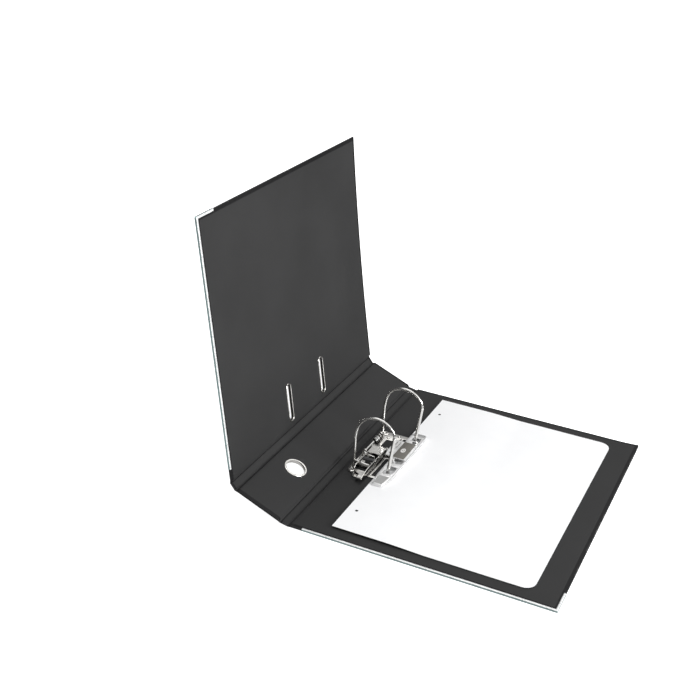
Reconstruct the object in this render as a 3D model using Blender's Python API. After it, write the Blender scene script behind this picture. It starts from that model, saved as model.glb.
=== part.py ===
"""Lever arch ring binder (folio, two rings on 80 mm centres), modelled open.

Row frame: metres, +Z up.  The origin is the centre of the back cover's outer
face, +X runs from the spine to the back cover's fore edge, +Y from the bottom
edge to the top edge.

The case is three stiff panels, back cover, spine and front cover.  Between
two panels the covering bends along two parallel score lines with a narrow
strip between them.  The strip turns half as far as the panel beyond it, so
that panel swings about a pole a little inside the fold.

All lengths below are millimetres and all angles are degrees.  The frame of
the back cover has x = 0 at the rear crease and z = 0 at the outer face.  The
spine and the front cover run along -X from their own score lines.
"""
import math
import bpy
import bmesh
from mathutils import Matrix, Vector

MM = 0.001

# ---------------------------------------------------------------- file case
HEIGHT = 350.0       # of every panel, along Y
HALF_H = HEIGHT / 2
COVER_W = 288.0      # width of the two covers, crease to fore edge
SPINE_W = 59.0
STRIP_W = 8.5        # width of each crease strip
PANEL_T = 2.8
EDGE = 0.45          # a panel's edge stops this far from its score line
STRIP_IN, STRIP_OUT = 0.5, 1.25    # the strip stops this far from its score lines
STRIP_T = 0.6
CLOSED = 90.0        # angle of each fold when the file is shut
REAR_FOLD = 22.0     # rest angle of the spine above the back cover's plane
FRONT_FOLD = 60.0    # rest angle between spine and front cover

# ------------------------------------------------------------- panel layers
WRAP_T = 0.3         # outer covering sheet
TURN_IN = 4.5        # width of the covering turned in round the edges
BOARD_LO, BOARD_HI = 0.5, 2.4      # grey board inside a panel
BOARD_INSET = 0.5    # board edge inside the panel's outer edges
BOARD_CREASE = 1.6   # board edge from a score line
LINING_LO = 2.5      # lining sheet and turned-in flap start here
LINING_GAP = 0.3     # between the lining and the turned-in flap
OVERRUN = 5.0        # cutters for the open sides run this far past the panel
PAST = 1.0           # cutters through a face run this far past it

# ---------------------------------------------------------- edge protectors
PROT_START = 17.0    # from the crease
PROT_FLANGE = 2.4
PROT_UP = 30.0       # leg up the fore edge
PROT_T = 0.35
PROT_LO = 0.05       # underside
PROT_GAP = 0.1       # clearance to the wrap
PROT_HOLLOW = 9.0    # the cutter that hollows it reaches this far in

# ---------------------------------------- finger ring and eyelets, flanges
FLANGE_NEAR, FLANGE_FAR = 0.1, 0.45    # both flange faces, from the panel's face
RING_X, RING_Y = -SPINE_W / 2, -91.0
RING_IN, RING_TUBE, RING_OUT = 11.0, 11.5, 13.5
RING_TUBE_TOP = 3.4
WASHER_GAP, RING_HOLE_GAP = 0.3, 0.4   # round the ring's tube

# ------------------------------------------------- slots in the front cover
SLOT_U0, SLOT_U1 = 10.5, 54.5      # ends, from the score line
SLOT_HALF = 4.0
SLOT_GAP = 0.9       # the hole in the panel is this much bigger all round
EYELET_WALL, EYELET_RIM = 0.55, 2.0

# ---------------------------------------------------------- label on spine
POCKET_U0, POCKET_U1 = 4.0, 55.0   # from the score line
POCKET_Y0, POCKET_Y1 = -56.0, 151.0
POCKET_SEAM = 1.2
LABEL_MARGIN = 2.0
LABEL_Y0 = 25.0

# ------------------------------------------------------------- ring pitch
RING_PITCH = 80.0
ARCH_Y = RING_PITCH / 2

# ---------------------------------------------------- base plate and rivets
BASE_X0, BASE_X1 = 8.0, 64.0
BASE_Y = 51.0
BASE_LO, BASE_HI = 3.1, 4.1
EAR_LO = BASE_LO + 0.2             # the ears start inside the plate
SHAFT_EARS = ((-37.4, -35.6), (-11.2, -8.6), (33.0, 36.4))    # y from, y to
SHAFT_EAR_R, LEVER_EAR_R = 3.1, 3.2
SHAFT_BORE_GAP, PIVOT_BORE_GAP = 0.4, 0.3
RIVET_HOLE_R = 2.6
# name, x, y
RIVETS = [("rivet_lower_left", 13.5, -46.5), ("rivet_upper_left", 13.5, 46.5),
          ("rivet_lower_right", 58.0, -47.5), ("rivet_upper_right", 58.0, 47.5)]
# radius, z; from the outer head up to the inner one
RIVET_PROFILE = [(0, 0.1), (5.0, 0.1), (5.0, 1.0), (2.2, 1.05), (2.2, 4.35),
                 (4.2, 4.4), (4.2, 4.8), (2.6, 5.1), (0, 5.1)]
# holes round each rivet in the back cover: radius, z from, z to, segments
RIVET_CUTS = {"wrap": [(5.3, -1, 1.2, 20)],
              "board": [(5.3, -1, 1.35, 20), (RIVET_HOLE_R, 0, 4, 16)],
              "lining": [(RIVET_HOLE_R, 1, 4, 16)]}

# ------------------------------------------------------- arches and posts
WIRE_R = 1.6
SHAFT_X, SHAFT_Z = 12.4, 8.5
LEG_TOP = 40.0
CROWN_X, CROWN_Z = 37.0, 72.2
END_X, END_Z = 59.2, 55.0
CRANK_X, CRANK_Z = 27.8, 5.9
CRANK_Y0, CRANK_Y1 = -33.0, -13.0
WIRE_BEND = 2.0      # bend radius of the shaft and crank
POST_R, POST_FOOT_R = 2.0, 3.6
POST_TOP_X = END_X - 0.1
POST_TOP_Z, POST_FOOT_Z = 54.6, 4.4
POST_LEAN = 6.4
SPRING_R, SPRING_WIRE_R = 3.3, 0.5
SPRING_Y, SPRING_PITCH = 16.0, 1.45

# ------------------------------------------------------------------ lever
LEVER_X0, LEVER_X1 = 17.0, 33.4
LEVER_Y0, LEVER_Y1 = -66.0, 7.4
LEVER_T = 1.0
WEB_X0, WEB_X1 = LEVER_X0 + 0.2, LEVER_X1 - 0.2
PIVOT_Y, PIVOT_Z, PIVOT_R = 4.0, 8.6, 1.5
PIVOT_HEAD_R = 2.4
ROLLER_Y, ROLLER_Z, ROLLER_R = -28.0, 10.7, 2.5
ROLLER_BORE_R = 1.0
ROLLER_GAP = 0.4     # from each side wall
ROLLER_PIN_R, ROLLER_HEAD_R = 0.7, 1.5
# side wall outline: y, z
LEVER_WALL = [(LEVER_Y1, 6.4), (LEVER_Y1, 10.8), (LEVER_Y1 - 1.2, 11.6), (-9, 11.6),
              (-44, 12.6), (-52, 12.2), (-62, 9.8), (LEVER_Y0, 8.2), (LEVER_Y0, 6.0),
              (-62, 5.0), (-39, 5.0)]
LEVER_NOTCH = [(-37.5, 9.9), (-9.6, 9.9), (-8, 6.4)]    # rest of the wall over the crank
LEVER_PLAIN = [(-36, 5.6), (0, 5.6)]                    # rest of the other wall
# cross pieces between the walls: y from, y to, z from, z to
LEVER_WEBS = [(-64.0, -49.0, 5.2, 6.2),                 # floor of the handle
              (-65.2, -63.2, 5.3, 7.0),                 # lower part of the end
              (LEVER_Y0 + 0.1, -64.6, 5.8, 8.4),        # end
              (-40.8, -38.8, 5.2, 11.0),                # upright bridge
              (-7.5, 6.1, 10.7, 11.5)]                  # roof by the pivot

# ------------------------------------------------------------- compressor
BAR_Y0, BAR_Y1 = -67.0, 57.5
BAR_LO, BAR_HI = 6.1, 10.6
BAR_WALL = 0.9
POST_SLOT_X0, POST_SLOT_X1, POST_SLOT_HALF = 50.6, 60.4, 3.2
LOCK_X, LOCK_Z = 50.0, 12.2        # hinge pin of the lock plate
LOCK_Y, LOCK_HALF = 3.5, 19.0
LOCK_LO, LOCK_HI = 13.9, 14.9
LOCK_X1 = 62.5
LOCK_LIP_X = LOCK_X1 - 1.0
LOCK_PIN_R, LOCK_PIN_HALF, LOCK_BORE_R = 1.0, 22.2, 1.3
LUG_HALF = 1.6       # half width of the pin's lugs
BAR_LUGS = ((-21.6, -20.3), (20.3, 21.6))      # y from, y to, about LOCK_Y
PLATE_LUGS = ((-18.8, -17.4), (17.4, 18.8))
LOCK_SPRING_R, LOCK_SPRING_WIRE_R = 1.45, 0.22
LOCK_SPRING_Y, LOCK_SPRING_PITCH = LOCK_Y - 4.0, 1.6

# ------------------------------------------------------------------ sheet
SHEET_X0, SHEET_X1 = 43.0, 258.0
SHEET_HALF = 157.5
SHEET_T = 0.3
SHEET_Z = 5.35
SHEET_REST_Z = PANEL_T + 0.15
SHEET_BEND = 145.0   # the sheet comes down to the cover here
SHEET_CORNER = 12.0
SHEET_HOLE_X = 53.6
# y, radius
SHEET_HOLES = [(-1.5 * RING_PITCH, 2.0), (-ARCH_Y, 3.2), (ARCH_Y, 3.2), (1.5 * RING_PITCH, 2.0)]


# ================================================================= scene
for old in list(bpy.data.objects):
    bpy.data.objects.remove(old, do_unlink=True)
scene = bpy.context.scene


# ============================================================== materials
def material(name, rgb, roughness, metallic=0.0, alpha=1.0):
    mat = bpy.data.materials.new(name)
    mat.use_nodes = True
    shader = mat.node_tree.nodes["Principled BSDF"]
    shader.inputs["Base Color"].default_value = (*rgb, 1.0)
    shader.inputs["Roughness"].default_value = roughness
    shader.inputs["Metallic"].default_value = metallic
    shader.inputs["Alpha"].default_value = alpha
    mat.diffuse_color = (*rgb, alpha)
    return mat


M_WRAP = material("cover_wrap", rgb=(0.016, 0.016, 0.018), roughness=0.38)
M_LINING = material("cover_lining", rgb=(0.045, 0.045, 0.047), roughness=0.62)
M_BOARD = material("grey_board", rgb=(0.36, 0.33, 0.29), roughness=0.9)
M_NICKEL = material("nickel_plate", rgb=(0.80, 0.80, 0.78), roughness=0.16, metallic=1.0)
M_BRIGHT = material("bright_edge_strip", rgb=(0.86, 0.88, 0.88), roughness=0.22, metallic=1.0)
M_ROLLER = material("roller_plastic", rgb=(0.10, 0.10, 0.11), roughness=0.45)
M_SILVER = material("compressor_paint", rgb=(0.80, 0.80, 0.80), roughness=0.35, metallic=0.3)
M_PLATE = material("lock_plate_grey", rgb=(0.22, 0.21, 0.19), roughness=0.45, metallic=0.5)
M_CLEAR = material("clear_pocket", rgb=(0.85, 0.87, 0.88), roughness=0.12, alpha=0.35)
M_CARD = material("label_card", rgb=(0.86, 0.86, 0.85), roughness=0.8)
M_PAPER = material("index_paper", rgb=(0.90, 0.90, 0.90), roughness=0.85)
M_SPRING = material("spring_steel", rgb=(0.62, 0.62, 0.62), roughness=0.25, metallic=1.0)


# =========================================================== solid helpers
def solid(verts, faces):
    """Temporary object from millimetre coordinates, normals facing out."""
    mesh = bpy.data.meshes.new("tmp")
    mesh.from_pydata([Vector(v) * MM for v in verts], [], faces)
    bm = bmesh.new()
    bm.from_mesh(mesh)
    bmesh.ops.recalc_face_normals(bm, faces=bm.faces)
    bm.to_mesh(mesh)
    bm.free()
    ob = bpy.data.objects.new("tmp", mesh)
    scene.collection.objects.link(ob)
    return ob


def box(x0, x1, y0, y1, z0, z1):
    """Box between limits; the two x limits may come in either order."""
    x0, x1 = min(x0, x1), max(x0, x1)
    verts = [(x, y, z) for z in (z0, z1) for y in (y0, y1) for x in (x0, x1)]
    faces = [(0, 2, 3, 1), (4, 5, 7, 6), (0, 1, 5, 4),
             (1, 3, 7, 5), (3, 2, 6, 7), (2, 0, 4, 6)]
    return solid(verts, faces)


def loft(sections):
    """Closed solid through equal-length rings of points."""
    n = len(sections[0])
    last = n * (len(sections) - 1)
    verts = [p for section in sections for p in section]
    faces = [tuple(range(n - 1, -1, -1)), tuple(range(last, last + n))]
    for a in range(0, last, n):
        b = a + n
        faces += [(a + i, a + (i + 1) % n, b + (i + 1) % n, b + i) for i in range(n)]
    return solid(verts, faces)


def prism(outline, z0, z1):
    """Closed prism from a plan outline."""
    return loft([[(x, y, z) for x, y in outline] for z in (z0, z1)])


def unit_circle(n):
    """(cosine, sine) at n even steps."""
    return [(math.cos(2 * math.pi * i / n), math.sin(2 * math.pi * i / n)) for i in range(n)]


def cylinder(start, end, radius, n):
    start, end = Vector(start), Vector(end)
    turn = (end - start).to_track_quat('Z', 'Y')
    rim = [turn @ Vector((radius * c, radius * s, 0)) for c, s in unit_circle(n)]
    return loft([[start + p for p in rim], [end + p for p in rim]])


def rod_x(x0, x1, y, z, radius, n):
    return cylinder((x0, y, z), (x1, y, z), radius, n)


def rod_y(x, y0, y1, z, radius, n):
    return cylinder((x, y0, z), (x, y1, z), radius, n)


def rod_z(x, y, z0, z1, radius, n):
    return cylinder((x, y, z0), (x, y, z1), radius, n)


def turned(profile, cx, cy, n):
    """Solid of revolution about a vertical axis; profile is (radius, z) from
    the axis at the bottom to the axis at the top."""
    verts = [(cx, cy, profile[0][1])]
    rows = []
    for r, z in profile[1:-1]:
        rows.append(len(verts))
        verts += [(cx + r * c, cy + r * s, z) for c, s in unit_circle(n)]
    top = len(verts)
    verts.append((cx, cy, profile[-1][1]))
    faces = []
    for i in range(n):
        j = (i + 1) % n
        faces.append((0, rows[0] + j, rows[0] + i))
        faces.append((top, rows[-1] + i, rows[-1] + j))
        faces += [(a + i, a + j, b + j, b + i) for a, b in zip(rows, rows[1:])]
    return solid(verts, faces)


def ring(cx, cy, profile, n=40):
    """Ring about a vertical axis; profile is a closed (radius, z) outline."""
    m = len(profile)
    verts = [(cx + r * c, cy + r * s, z) for c, s in unit_circle(n) for r, z in profile]
    faces = []
    for i in range(n):
        a, b = i * m, (i + 1) % n * m
        faces += [(a + k, b + k, b + (k + 1) % m, a + (k + 1) % m) for k in range(m)]
    return solid(verts, faces)


def tube(path, radius, n):
    """Round wire swept along a path of points, ends closed."""
    pts = [Vector(p) for p in path]
    last = len(pts) - 1
    tangents = [(pts[min(i + 1, last)] - pts[max(i - 1, 0)]).normalized()
                for i in range(len(pts))]
    up = Vector((0, 1, 0)) if abs(tangents[0].y) < 0.9 else Vector((1, 0, 0))
    normal = (up - tangents[0] * up.dot(tangents[0])).normalized()
    sections = []
    for i, (point, tangent) in enumerate(zip(pts, tangents)):
        if i:
            normal = tangents[i - 1].rotation_difference(tangent) @ normal
            normal = (normal - tangent * normal.dot(tangent)).normalized()
        across = tangent.cross(normal)
        miter = 1.0    # widens the section at a corner so the wire keeps its radius
        if 0 < i < last:
            d = (point - pts[i - 1]).normalized().dot((pts[i + 1] - point).normalized())
            miter = 1.0 / max(math.sqrt((1 + min(d, 1.0)) / 2), 0.5)
        sections.append((point, normal.copy(), across, miter))
    return loft([[p + (nrm * c + acr * s) * radius for c, s in unit_circle(n)]
                 for p, nrm, acr, _ in sections])


def bezier(a, b, c, d, n=9):
    a, b, c, d = Vector(a), Vector(b), Vector(c), Vector(d)
    steps = [i / n for i in range(n + 1)]
    return [a * (1 - t) ** 3 + b * 3 * t * (1 - t) ** 2 + c * 3 * t * t * (1 - t) + d * t ** 3
            for t in steps]


def bent(points, radius, n=4):
    """Polyline with every inner corner turned into an arc."""
    pts = [Vector(p) for p in points]
    out = [pts[0]]
    for before, corner, after in zip(pts, pts[1:], pts[2:]):
        u = (before - corner).normalized()
        v = (after - corner).normalized()
        half = u.angle(v) / 2
        setback = radius / math.tan(half)
        centre = corner + (u + v).normalized() * (radius / math.sin(half))
        start = (corner + u * setback - centre).normalized()
        end = (corner + v * setback - centre).normalized()
        out += [centre + start.slerp(end, i / n) * radius for i in range(n + 1)]
    out.append(pts[-1])
    return out


def helix(x, y_start, z, radius, pitch, turns, per_turn):
    """Points of a coil that advances along +Y."""
    angles = [2 * math.pi * i / per_turn for i in range(turns * per_turn + 1)]
    return [(x + radius * math.cos(a), y_start + pitch * i / per_turn, z + radius * math.sin(a))
            for i, a in enumerate(angles)]


def cut(ob, cuts=(), adds=()):
    """Join the added solids to ob, then take the cut solids away from it."""
    for kind, group in (("UNION", adds), ("DIFFERENCE", cuts)):
        for tool in group:
            tool.hide_render = True
            tool.display_type = 'WIRE'
            mod = ob.modifiers.new(kind.lower(), 'BOOLEAN')
            mod.operation = kind
            mod.solver = 'EXACT'
            mod.object = tool
    depsgraph = bpy.context.evaluated_depsgraph_get()
    depsgraph.update()
    mesh = bpy.data.meshes.new_from_object(ob.evaluated_get(depsgraph))
    ob.modifiers.clear()
    ob.data = mesh
    for tool in list(adds) + list(cuts):
        bpy.data.objects.remove(tool, do_unlink=True)
    return ob


# ================================================================= frames
def pivot(name, loc, parent=None, turn_y=0.0):
    empty = bpy.data.objects.new(name, None)
    empty.empty_display_size = 0.02
    scene.collection.objects.link(empty)
    empty.parent = parent
    empty.location = Vector(loc) * MM
    empty.rotation_euler = (0.0, math.radians(turn_y), 0.0)
    return empty


def far_line(half):
    """The far score line, seen from the near one, with the strip at half."""
    angle = math.radians(half)
    return Vector((-STRIP_W * math.cos(angle), 0, STRIP_W * math.sin(angle)))


def pole(half_a, half_b):
    """Axis about which the outer panel turns from one fold angle to another."""
    a, b = far_line(half_a), far_line(half_b)
    turn = -2 * math.radians(half_b - half_a)
    chord = b - a
    return (a + b) / 2 + Vector((-chord.z, 0, chord.x)) * (0.5 / math.tan(turn / 2))


def datum(rest, axis_point):
    """The outer panel's score line in the frame of its own pivot."""
    return Matrix.Rotation(math.radians(-rest), 3, 'Y') @ (far_line(rest / 2) - axis_point)


def post_x(z):
    """Axis of the leaning posts at height z."""
    return POST_TOP_X - (POST_TOP_Z - z) * math.tan(math.radians(POST_LEAN))


REAR_POLE = pole(REAR_FOLD / 2, CLOSED / 2)
FRONT_POLE = (pole(FRONT_FOLD / 2, CLOSED / 2) + pole(FRONT_FOLD / 2, 0.0)) / 2
SPINE_DATUM = datum(REAR_FOLD, REAR_POLE)
FRONT_DATUM = datum(FRONT_FOLD, FRONT_POLE)
SPINE_END = SPINE_DATUM + Vector((-SPINE_W, 0, 0))

# hinge points of the mechanism in the back cover's frame
SHAFT = Vector((SHAFT_X, 0, SHAFT_Z))
LEVER_PIVOT = Vector((0, PIVOT_Y, PIVOT_Z))
ROLLER = Vector((0, ROLLER_Y, ROLLER_Z))
COMPRESSOR = Vector((post_x(BAR_LO), 0, BAR_LO))
LOCK = Vector((LOCK_X, 0, LOCK_Z))

F_BACK = pivot("frame_back_cover", (-COVER_W / 2, 0, 0))
F_REAR_CREASE = pivot("frame_rear_crease", (0, 0, 0), F_BACK, REAR_FOLD / 2)
F_SPINE = pivot("frame_spine", REAR_POLE, F_BACK, REAR_FOLD)
F_FRONT_CREASE = pivot("frame_front_crease", SPINE_END, F_SPINE, FRONT_FOLD / 2)
F_FRONT = pivot("frame_front_cover", SPINE_END + FRONT_POLE, F_SPINE, FRONT_FOLD)
F_ARCH = pivot("frame_arches", SHAFT, F_BACK)
F_LEVER = pivot("frame_lever", LEVER_PIVOT, F_BACK)
F_ROLLER = pivot("frame_roller", ROLLER - LEVER_PIVOT, F_LEVER)
F_COMPRESSOR = pivot("frame_compressor", COMPRESSOR, F_BACK)
F_LOCK = pivot("frame_lock_plate", LOCK - COMPRESSOR, F_COMPRESSOR)

# where pieces modelled from a score line sit in their pivot's frame
OFFSET = {F_SPINE: SPINE_DATUM, F_FRONT: FRONT_DATUM}


def place(name, ob, parent, mat, smooth=False, origin=(0, 0, 0)):
    """Finish a piece; origin is its parent's place in the modelled frame."""
    ob.data.transform(Matrix.Translation(-Vector(origin) * MM))
    ob.name = name
    ob.data.name = name
    ob.data.materials.clear()
    ob.data.materials.append(mat)
    if smooth:
        ob.data.shade_smooth()
        ob.data.set_sharp_from_angle(angle=math.radians(35))
    ob.parent = parent
    ob.location = OFFSET.get(parent, Vector()) * MM


# ================================================================= panels
def slab(x_span, y_inset, z0, z1):
    """Box over a panel's height, less an inset at both ends."""
    return box(*x_span, -HALF_H + y_inset, HALF_H - y_inset, z0, z1)


def panel_layers(tag, parent, spans, cutters):
    """Wrap, board and lining of a panel.  spans are x limits by part and
    cutters(layer) gives the further cutters of a layer."""
    wrap = slab(spans["wrap"], 0, 0, PANEL_T)
    cavity = slab(spans["cavity"], WRAP_T, WRAP_T, LINING_LO)
    window = slab(spans["window"], TURN_IN, LINING_LO - 0.5, PANEL_T + PAST)
    cut(wrap, [cavity, window] + cutters("wrap"))
    place(tag + "_wrap", wrap, parent, M_WRAP)

    board = slab(spans["board"], BOARD_INSET, BOARD_LO, BOARD_HI)
    place(tag + "_board", cut(board, cutters("board")), parent, M_BOARD)

    lining = slab(spans["lining"], TURN_IN + LINING_GAP, LINING_LO, PANEL_T)
    place(tag + "_lining", cut(lining, cutters("lining")), parent, M_LINING)


def protector_plan(side, grow=0.0):
    """L shaped plan of an edge protector, side = +1 or -1 along X."""
    x_start = side * (PROT_START - grow)
    x_edge = side * (COVER_W + grow)
    x_leg = side * (COVER_W - PROT_FLANGE - grow)
    y_edge = -HALF_H - grow
    y_leg_end = -HALF_H + PROT_UP + grow
    y_flange = -HALF_H + PROT_FLANGE + grow
    return [(x_start, y_edge), (x_edge, y_edge), (x_edge, y_leg_end),
            (x_leg, y_leg_end), (x_leg, y_flange), (x_start, y_flange)]


def edge_protector(name, side, parent):
    """Folded strip round the bottom edge and the foot of the fore edge."""
    x_start = side * (PROT_START - 2)
    x_wall = side * (COVER_W - PROT_T)
    x_inner = side * (COVER_W - PROT_HOLLOW)
    y_wall = -HALF_H + PROT_T
    y_end = -HALF_H + PROT_UP + 2
    y_inner = -HALF_H + PROT_HOLLOW
    hollow = prism([(x_start, y_wall), (x_wall, y_wall), (x_wall, y_end),
                    (x_inner, y_end), (x_inner, y_inner), (x_start, y_inner)],
                   PROT_LO + PROT_T, PANEL_T + 0.03)
    strip = prism(protector_plan(side), PROT_LO, PANEL_T + PROT_T)
    place(name, cut(strip, [hollow]), parent, M_BRIGHT)


def cover(tag, side, parent, holes):
    """A cover panel with its edge protector; holes(layer) gives its cutters."""
    spans = {"wrap": (side * EDGE, side * COVER_W),
             "cavity": (side * -OVERRUN, side * (COVER_W - WRAP_T)),
             "window": (side * -OVERRUN, side * (COVER_W - TURN_IN)),
             "board": (side * BOARD_CREASE, side * (COVER_W - BOARD_INSET)),
             "lining": (side * EDGE, side * (COVER_W - TURN_IN - LINING_GAP))}

    def cutters(layer):
        if layer != "wrap":
            return holes(layer)
        seat = prism(protector_plan(side, PROT_GAP), -PAST, PANEL_T + PAST)
        return [seat] + holes(layer)

    panel_layers(tag + "_cover", parent, spans, cutters)
    edge_protector(tag + "_edge_protector", side, parent)


def rivet_holes(layer):
    return [rod_z(x, y, z0, z1, radius, n)
            for _, x, y in RIVETS for radius, z0, z1, n in RIVET_CUTS[layer]]


def slot_outline(y_centre, grow=0.0, n=10):
    """Plan of a round-ended slot of the front cover, grown all round."""
    h = SLOT_HALF + grow
    u0, u1 = SLOT_U0 + SLOT_HALF, SLOT_U1 - SLOT_HALF
    arc = [(h * math.sin(math.pi * i / n), h * math.cos(math.pi * i / n)) for i in range(n + 1)]
    far_end = [(-(u1 + du), -dy + y_centre) for du, dy in arc]
    near_end = [(-(u0 - du), dy + y_centre) for du, dy in arc]
    return far_end + near_end


def slot_holes(_layer):
    return [prism(slot_outline(y, SLOT_GAP), -PAST, PANEL_T + PAST) for y in (-ARCH_Y, ARCH_Y)]


def slot_eyelet(name, y):
    """Tube lining a slot, with a flange on each face of the cover."""
    rim = slot_outline(y, EYELET_RIM)
    eyelet = cut(prism(slot_outline(y, EYELET_WALL), -FLANGE_FAR, PANEL_T + FLANGE_FAR),
                 cuts=[prism(slot_outline(y), -2, 6)],
                 adds=[prism(rim, -FLANGE_FAR, -FLANGE_NEAR),
                       prism(rim, PANEL_T + FLANGE_NEAR, PANEL_T + FLANGE_FAR)])
    place(name, eyelet, F_FRONT, M_NICKEL)


def hinge_strip(name, parent):
    strip = slab((-STRIP_IN, -(STRIP_W - STRIP_OUT)), 0, 0, STRIP_T)
    place(name, strip, parent, M_LINING)


def spine():
    """Spine panel; its wrap turns in at the top and bottom edges only."""
    full = (-EDGE, -(SPINE_W - EDGE))
    through = (OVERRUN, -(SPINE_W + OVERRUN))
    spans = {"wrap": full, "cavity": through, "window": through,
             "board": (-BOARD_CREASE, -(SPINE_W - BOARD_CREASE)), "lining": full}
    panel_layers("spine", F_SPINE, spans,
                 lambda _layer: [rod_z(RING_X, RING_Y, -2, 6, RING_TUBE + RING_HOLE_GAP, 40)])


def finger_ring():
    """Flanged eyelet from outside, washer round it on the inside."""
    eyelet = [(RING_IN, -FLANGE_FAR), (RING_OUT, -FLANGE_FAR), (RING_OUT, -FLANGE_NEAR),
              (RING_TUBE, -FLANGE_NEAR), (RING_TUBE, RING_TUBE_TOP), (RING_IN, RING_TUBE_TOP)]
    place("finger_ring", ring(RING_X, RING_Y, eyelet), F_SPINE, M_NICKEL, smooth=True)
    bore = RING_TUBE + WASHER_GAP
    lo, hi = PANEL_T + FLANGE_NEAR, PANEL_T + FLANGE_FAR
    washer = [(bore, lo), (RING_OUT, lo), (RING_OUT, hi), (bore, hi)]
    place("finger_ring_washer", ring(RING_X, RING_Y, washer), F_SPINE, M_NICKEL, smooth=True)


def label():
    """Clear pocket on the spine's outer face, open at the top, and its card."""
    pocket = box(-POCKET_U0, -POCKET_U1, POCKET_Y0, POCKET_Y1, -0.8, -0.05)
    room = box(-POCKET_U0 - POCKET_SEAM, -POCKET_U1 + POCKET_SEAM,
               POCKET_Y0 + POCKET_SEAM, POCKET_Y1 + 5, -0.5, 1.0)
    place("label_pocket", cut(pocket, [room]), F_SPINE, M_CLEAR)
    card = box(-POCKET_U0 - LABEL_MARGIN, -POCKET_U1 + LABEL_MARGIN,
               LABEL_Y0, POCKET_Y1 - 0.5, -0.4, -0.15)
    place("spine_label", card, F_SPINE, M_CARD)


# ============================================================= mechanism
def base_plate():
    """Plate with bearing ears for the arch shaft and for the lever pin."""
    outline = [(BASE_X0 + 3, -BASE_Y), (16.5, -BASE_Y), (18.5, -BASE_Y - 7),
               (26.5, -BASE_Y - 7), (28.5, -BASE_Y), (BASE_X1 - 3, -BASE_Y),
               (BASE_X1, -BASE_Y + 4), (BASE_X1, BASE_Y - 4), (BASE_X1 - 3, BASE_Y),
               (BASE_X0 + 3, BASE_Y), (BASE_X0, BASE_Y - 5), (BASE_X0, -BASE_Y + 5)]
    plate = prism(outline, BASE_LO, BASE_HI)
    ears, bores = [], []
    x0, x1 = SHAFT_X - SHAFT_EAR_R, SHAFT_X + SHAFT_EAR_R
    for y0, y1 in SHAFT_EARS:
        ears.append(prism([(x0, y0), (x1, y0), (x1, y1), (x0, y1)], EAR_LO, SHAFT_Z))
        ears.append(rod_y(SHAFT_X, y0, y1, SHAFT_Z, SHAFT_EAR_R, 20))
        bores.append(rod_y(SHAFT_X, y0 - 1, y1 + 1, SHAFT_Z, WIRE_R + SHAFT_BORE_GAP, 20))
    for x0, x1 in ((LEVER_X0 - 1.5, LEVER_X0 - 0.5), (LEVER_X1 + 0.5, LEVER_X1 + 1.5)):
        ears.append(box(x0, x1, PIVOT_Y - LEVER_EAR_R, PIVOT_Y + LEVER_EAR_R, EAR_LO, PIVOT_Z))
        ears.append(rod_x(x0, x1, PIVOT_Y, PIVOT_Z, LEVER_EAR_R, 20))
    bores.append(rod_x(LEVER_X0 - 3, LEVER_X1 + 3, PIVOT_Y, PIVOT_Z,
                       PIVOT_R + PIVOT_BORE_GAP, 20))
    windows = [box(19.0, 42.0, -46.0, -7.0, 2, 5),
               box(19.0, 31.5, 12.0, 44.0, 2, 5),
               box(38.0, 42.5, 10.0, 46.0, 2, 5)]
    holes = [rod_z(x, y, 2, 6, RIVET_HOLE_R, 16) for _, x, y in RIVETS]
    place("base_plate", cut(plate, windows + holes + bores, ears), F_BACK, M_NICKEL)


def post(name, y):
    """Fixed post: foot flange and a leaning round bar."""
    stations = [(POST_FOOT_Z, POST_FOOT_R), (POST_FOOT_Z + 0.6, POST_FOOT_R),
                (POST_FOOT_Z + 0.9, POST_R), (POST_TOP_Z - 0.6, POST_R),
                (POST_TOP_Z, POST_R - 0.35)]    # z, radius
    sections = [[(post_x(z) + r * c, y + r * s, z) for c, s in unit_circle(14)]
                for z, r in stations]
    place(name, loft(sections), F_BACK, M_NICKEL, smooth=True)


def lever_pivot_pin():
    """Pin with a head near its +X end."""
    pin = rod_x(LEVER_X0 - 2.3, LEVER_X1 + 2.6, PIVOT_Y, PIVOT_Z, PIVOT_R, 16)
    head = rod_x(LEVER_X1 + 1.8, LEVER_X1 + 2.8, PIVOT_Y, PIVOT_Z, PIVOT_HEAD_R, 16)
    place("lever_pivot_pin", cut(pin, adds=[head]), F_BACK, M_NICKEL, smooth=True)


def arch_spring():
    """Coil round the shaft, one end turned down and the other up."""
    coil = helix(SHAFT_X, SPRING_Y, SHAFT_Z, SPRING_R, SPRING_PITCH, turns=6, per_turn=14)
    path = [(SHAFT_X + SPRING_R, 15.6, SHAFT_Z - 3.6), *coil,
            (SHAFT_X + SPRING_R, 25.2, SHAFT_Z + 1.2), (SHAFT_X + 3.2, 25.4, SHAFT_Z + 3.6)]
    place("arch_spring", tube(path, SPRING_WIRE_R, 6), F_BACK, M_SPRING, smooth=True)


def arch(y):
    """One arch, from its free end over the crown to the top of its leg."""
    right = bezier((END_X, y, END_Z), (END_X, y, END_Z + 7.5),
                   (48.5, y, CROWN_Z), (CROWN_X, y, CROWN_Z))
    left = bezier((CROWN_X, y, CROWN_Z), (23.0, y, CROWN_Z),
                  (SHAFT_X, y, LEG_TOP + 23), (SHAFT_X, y, LEG_TOP))
    return right + left[1:]


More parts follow.
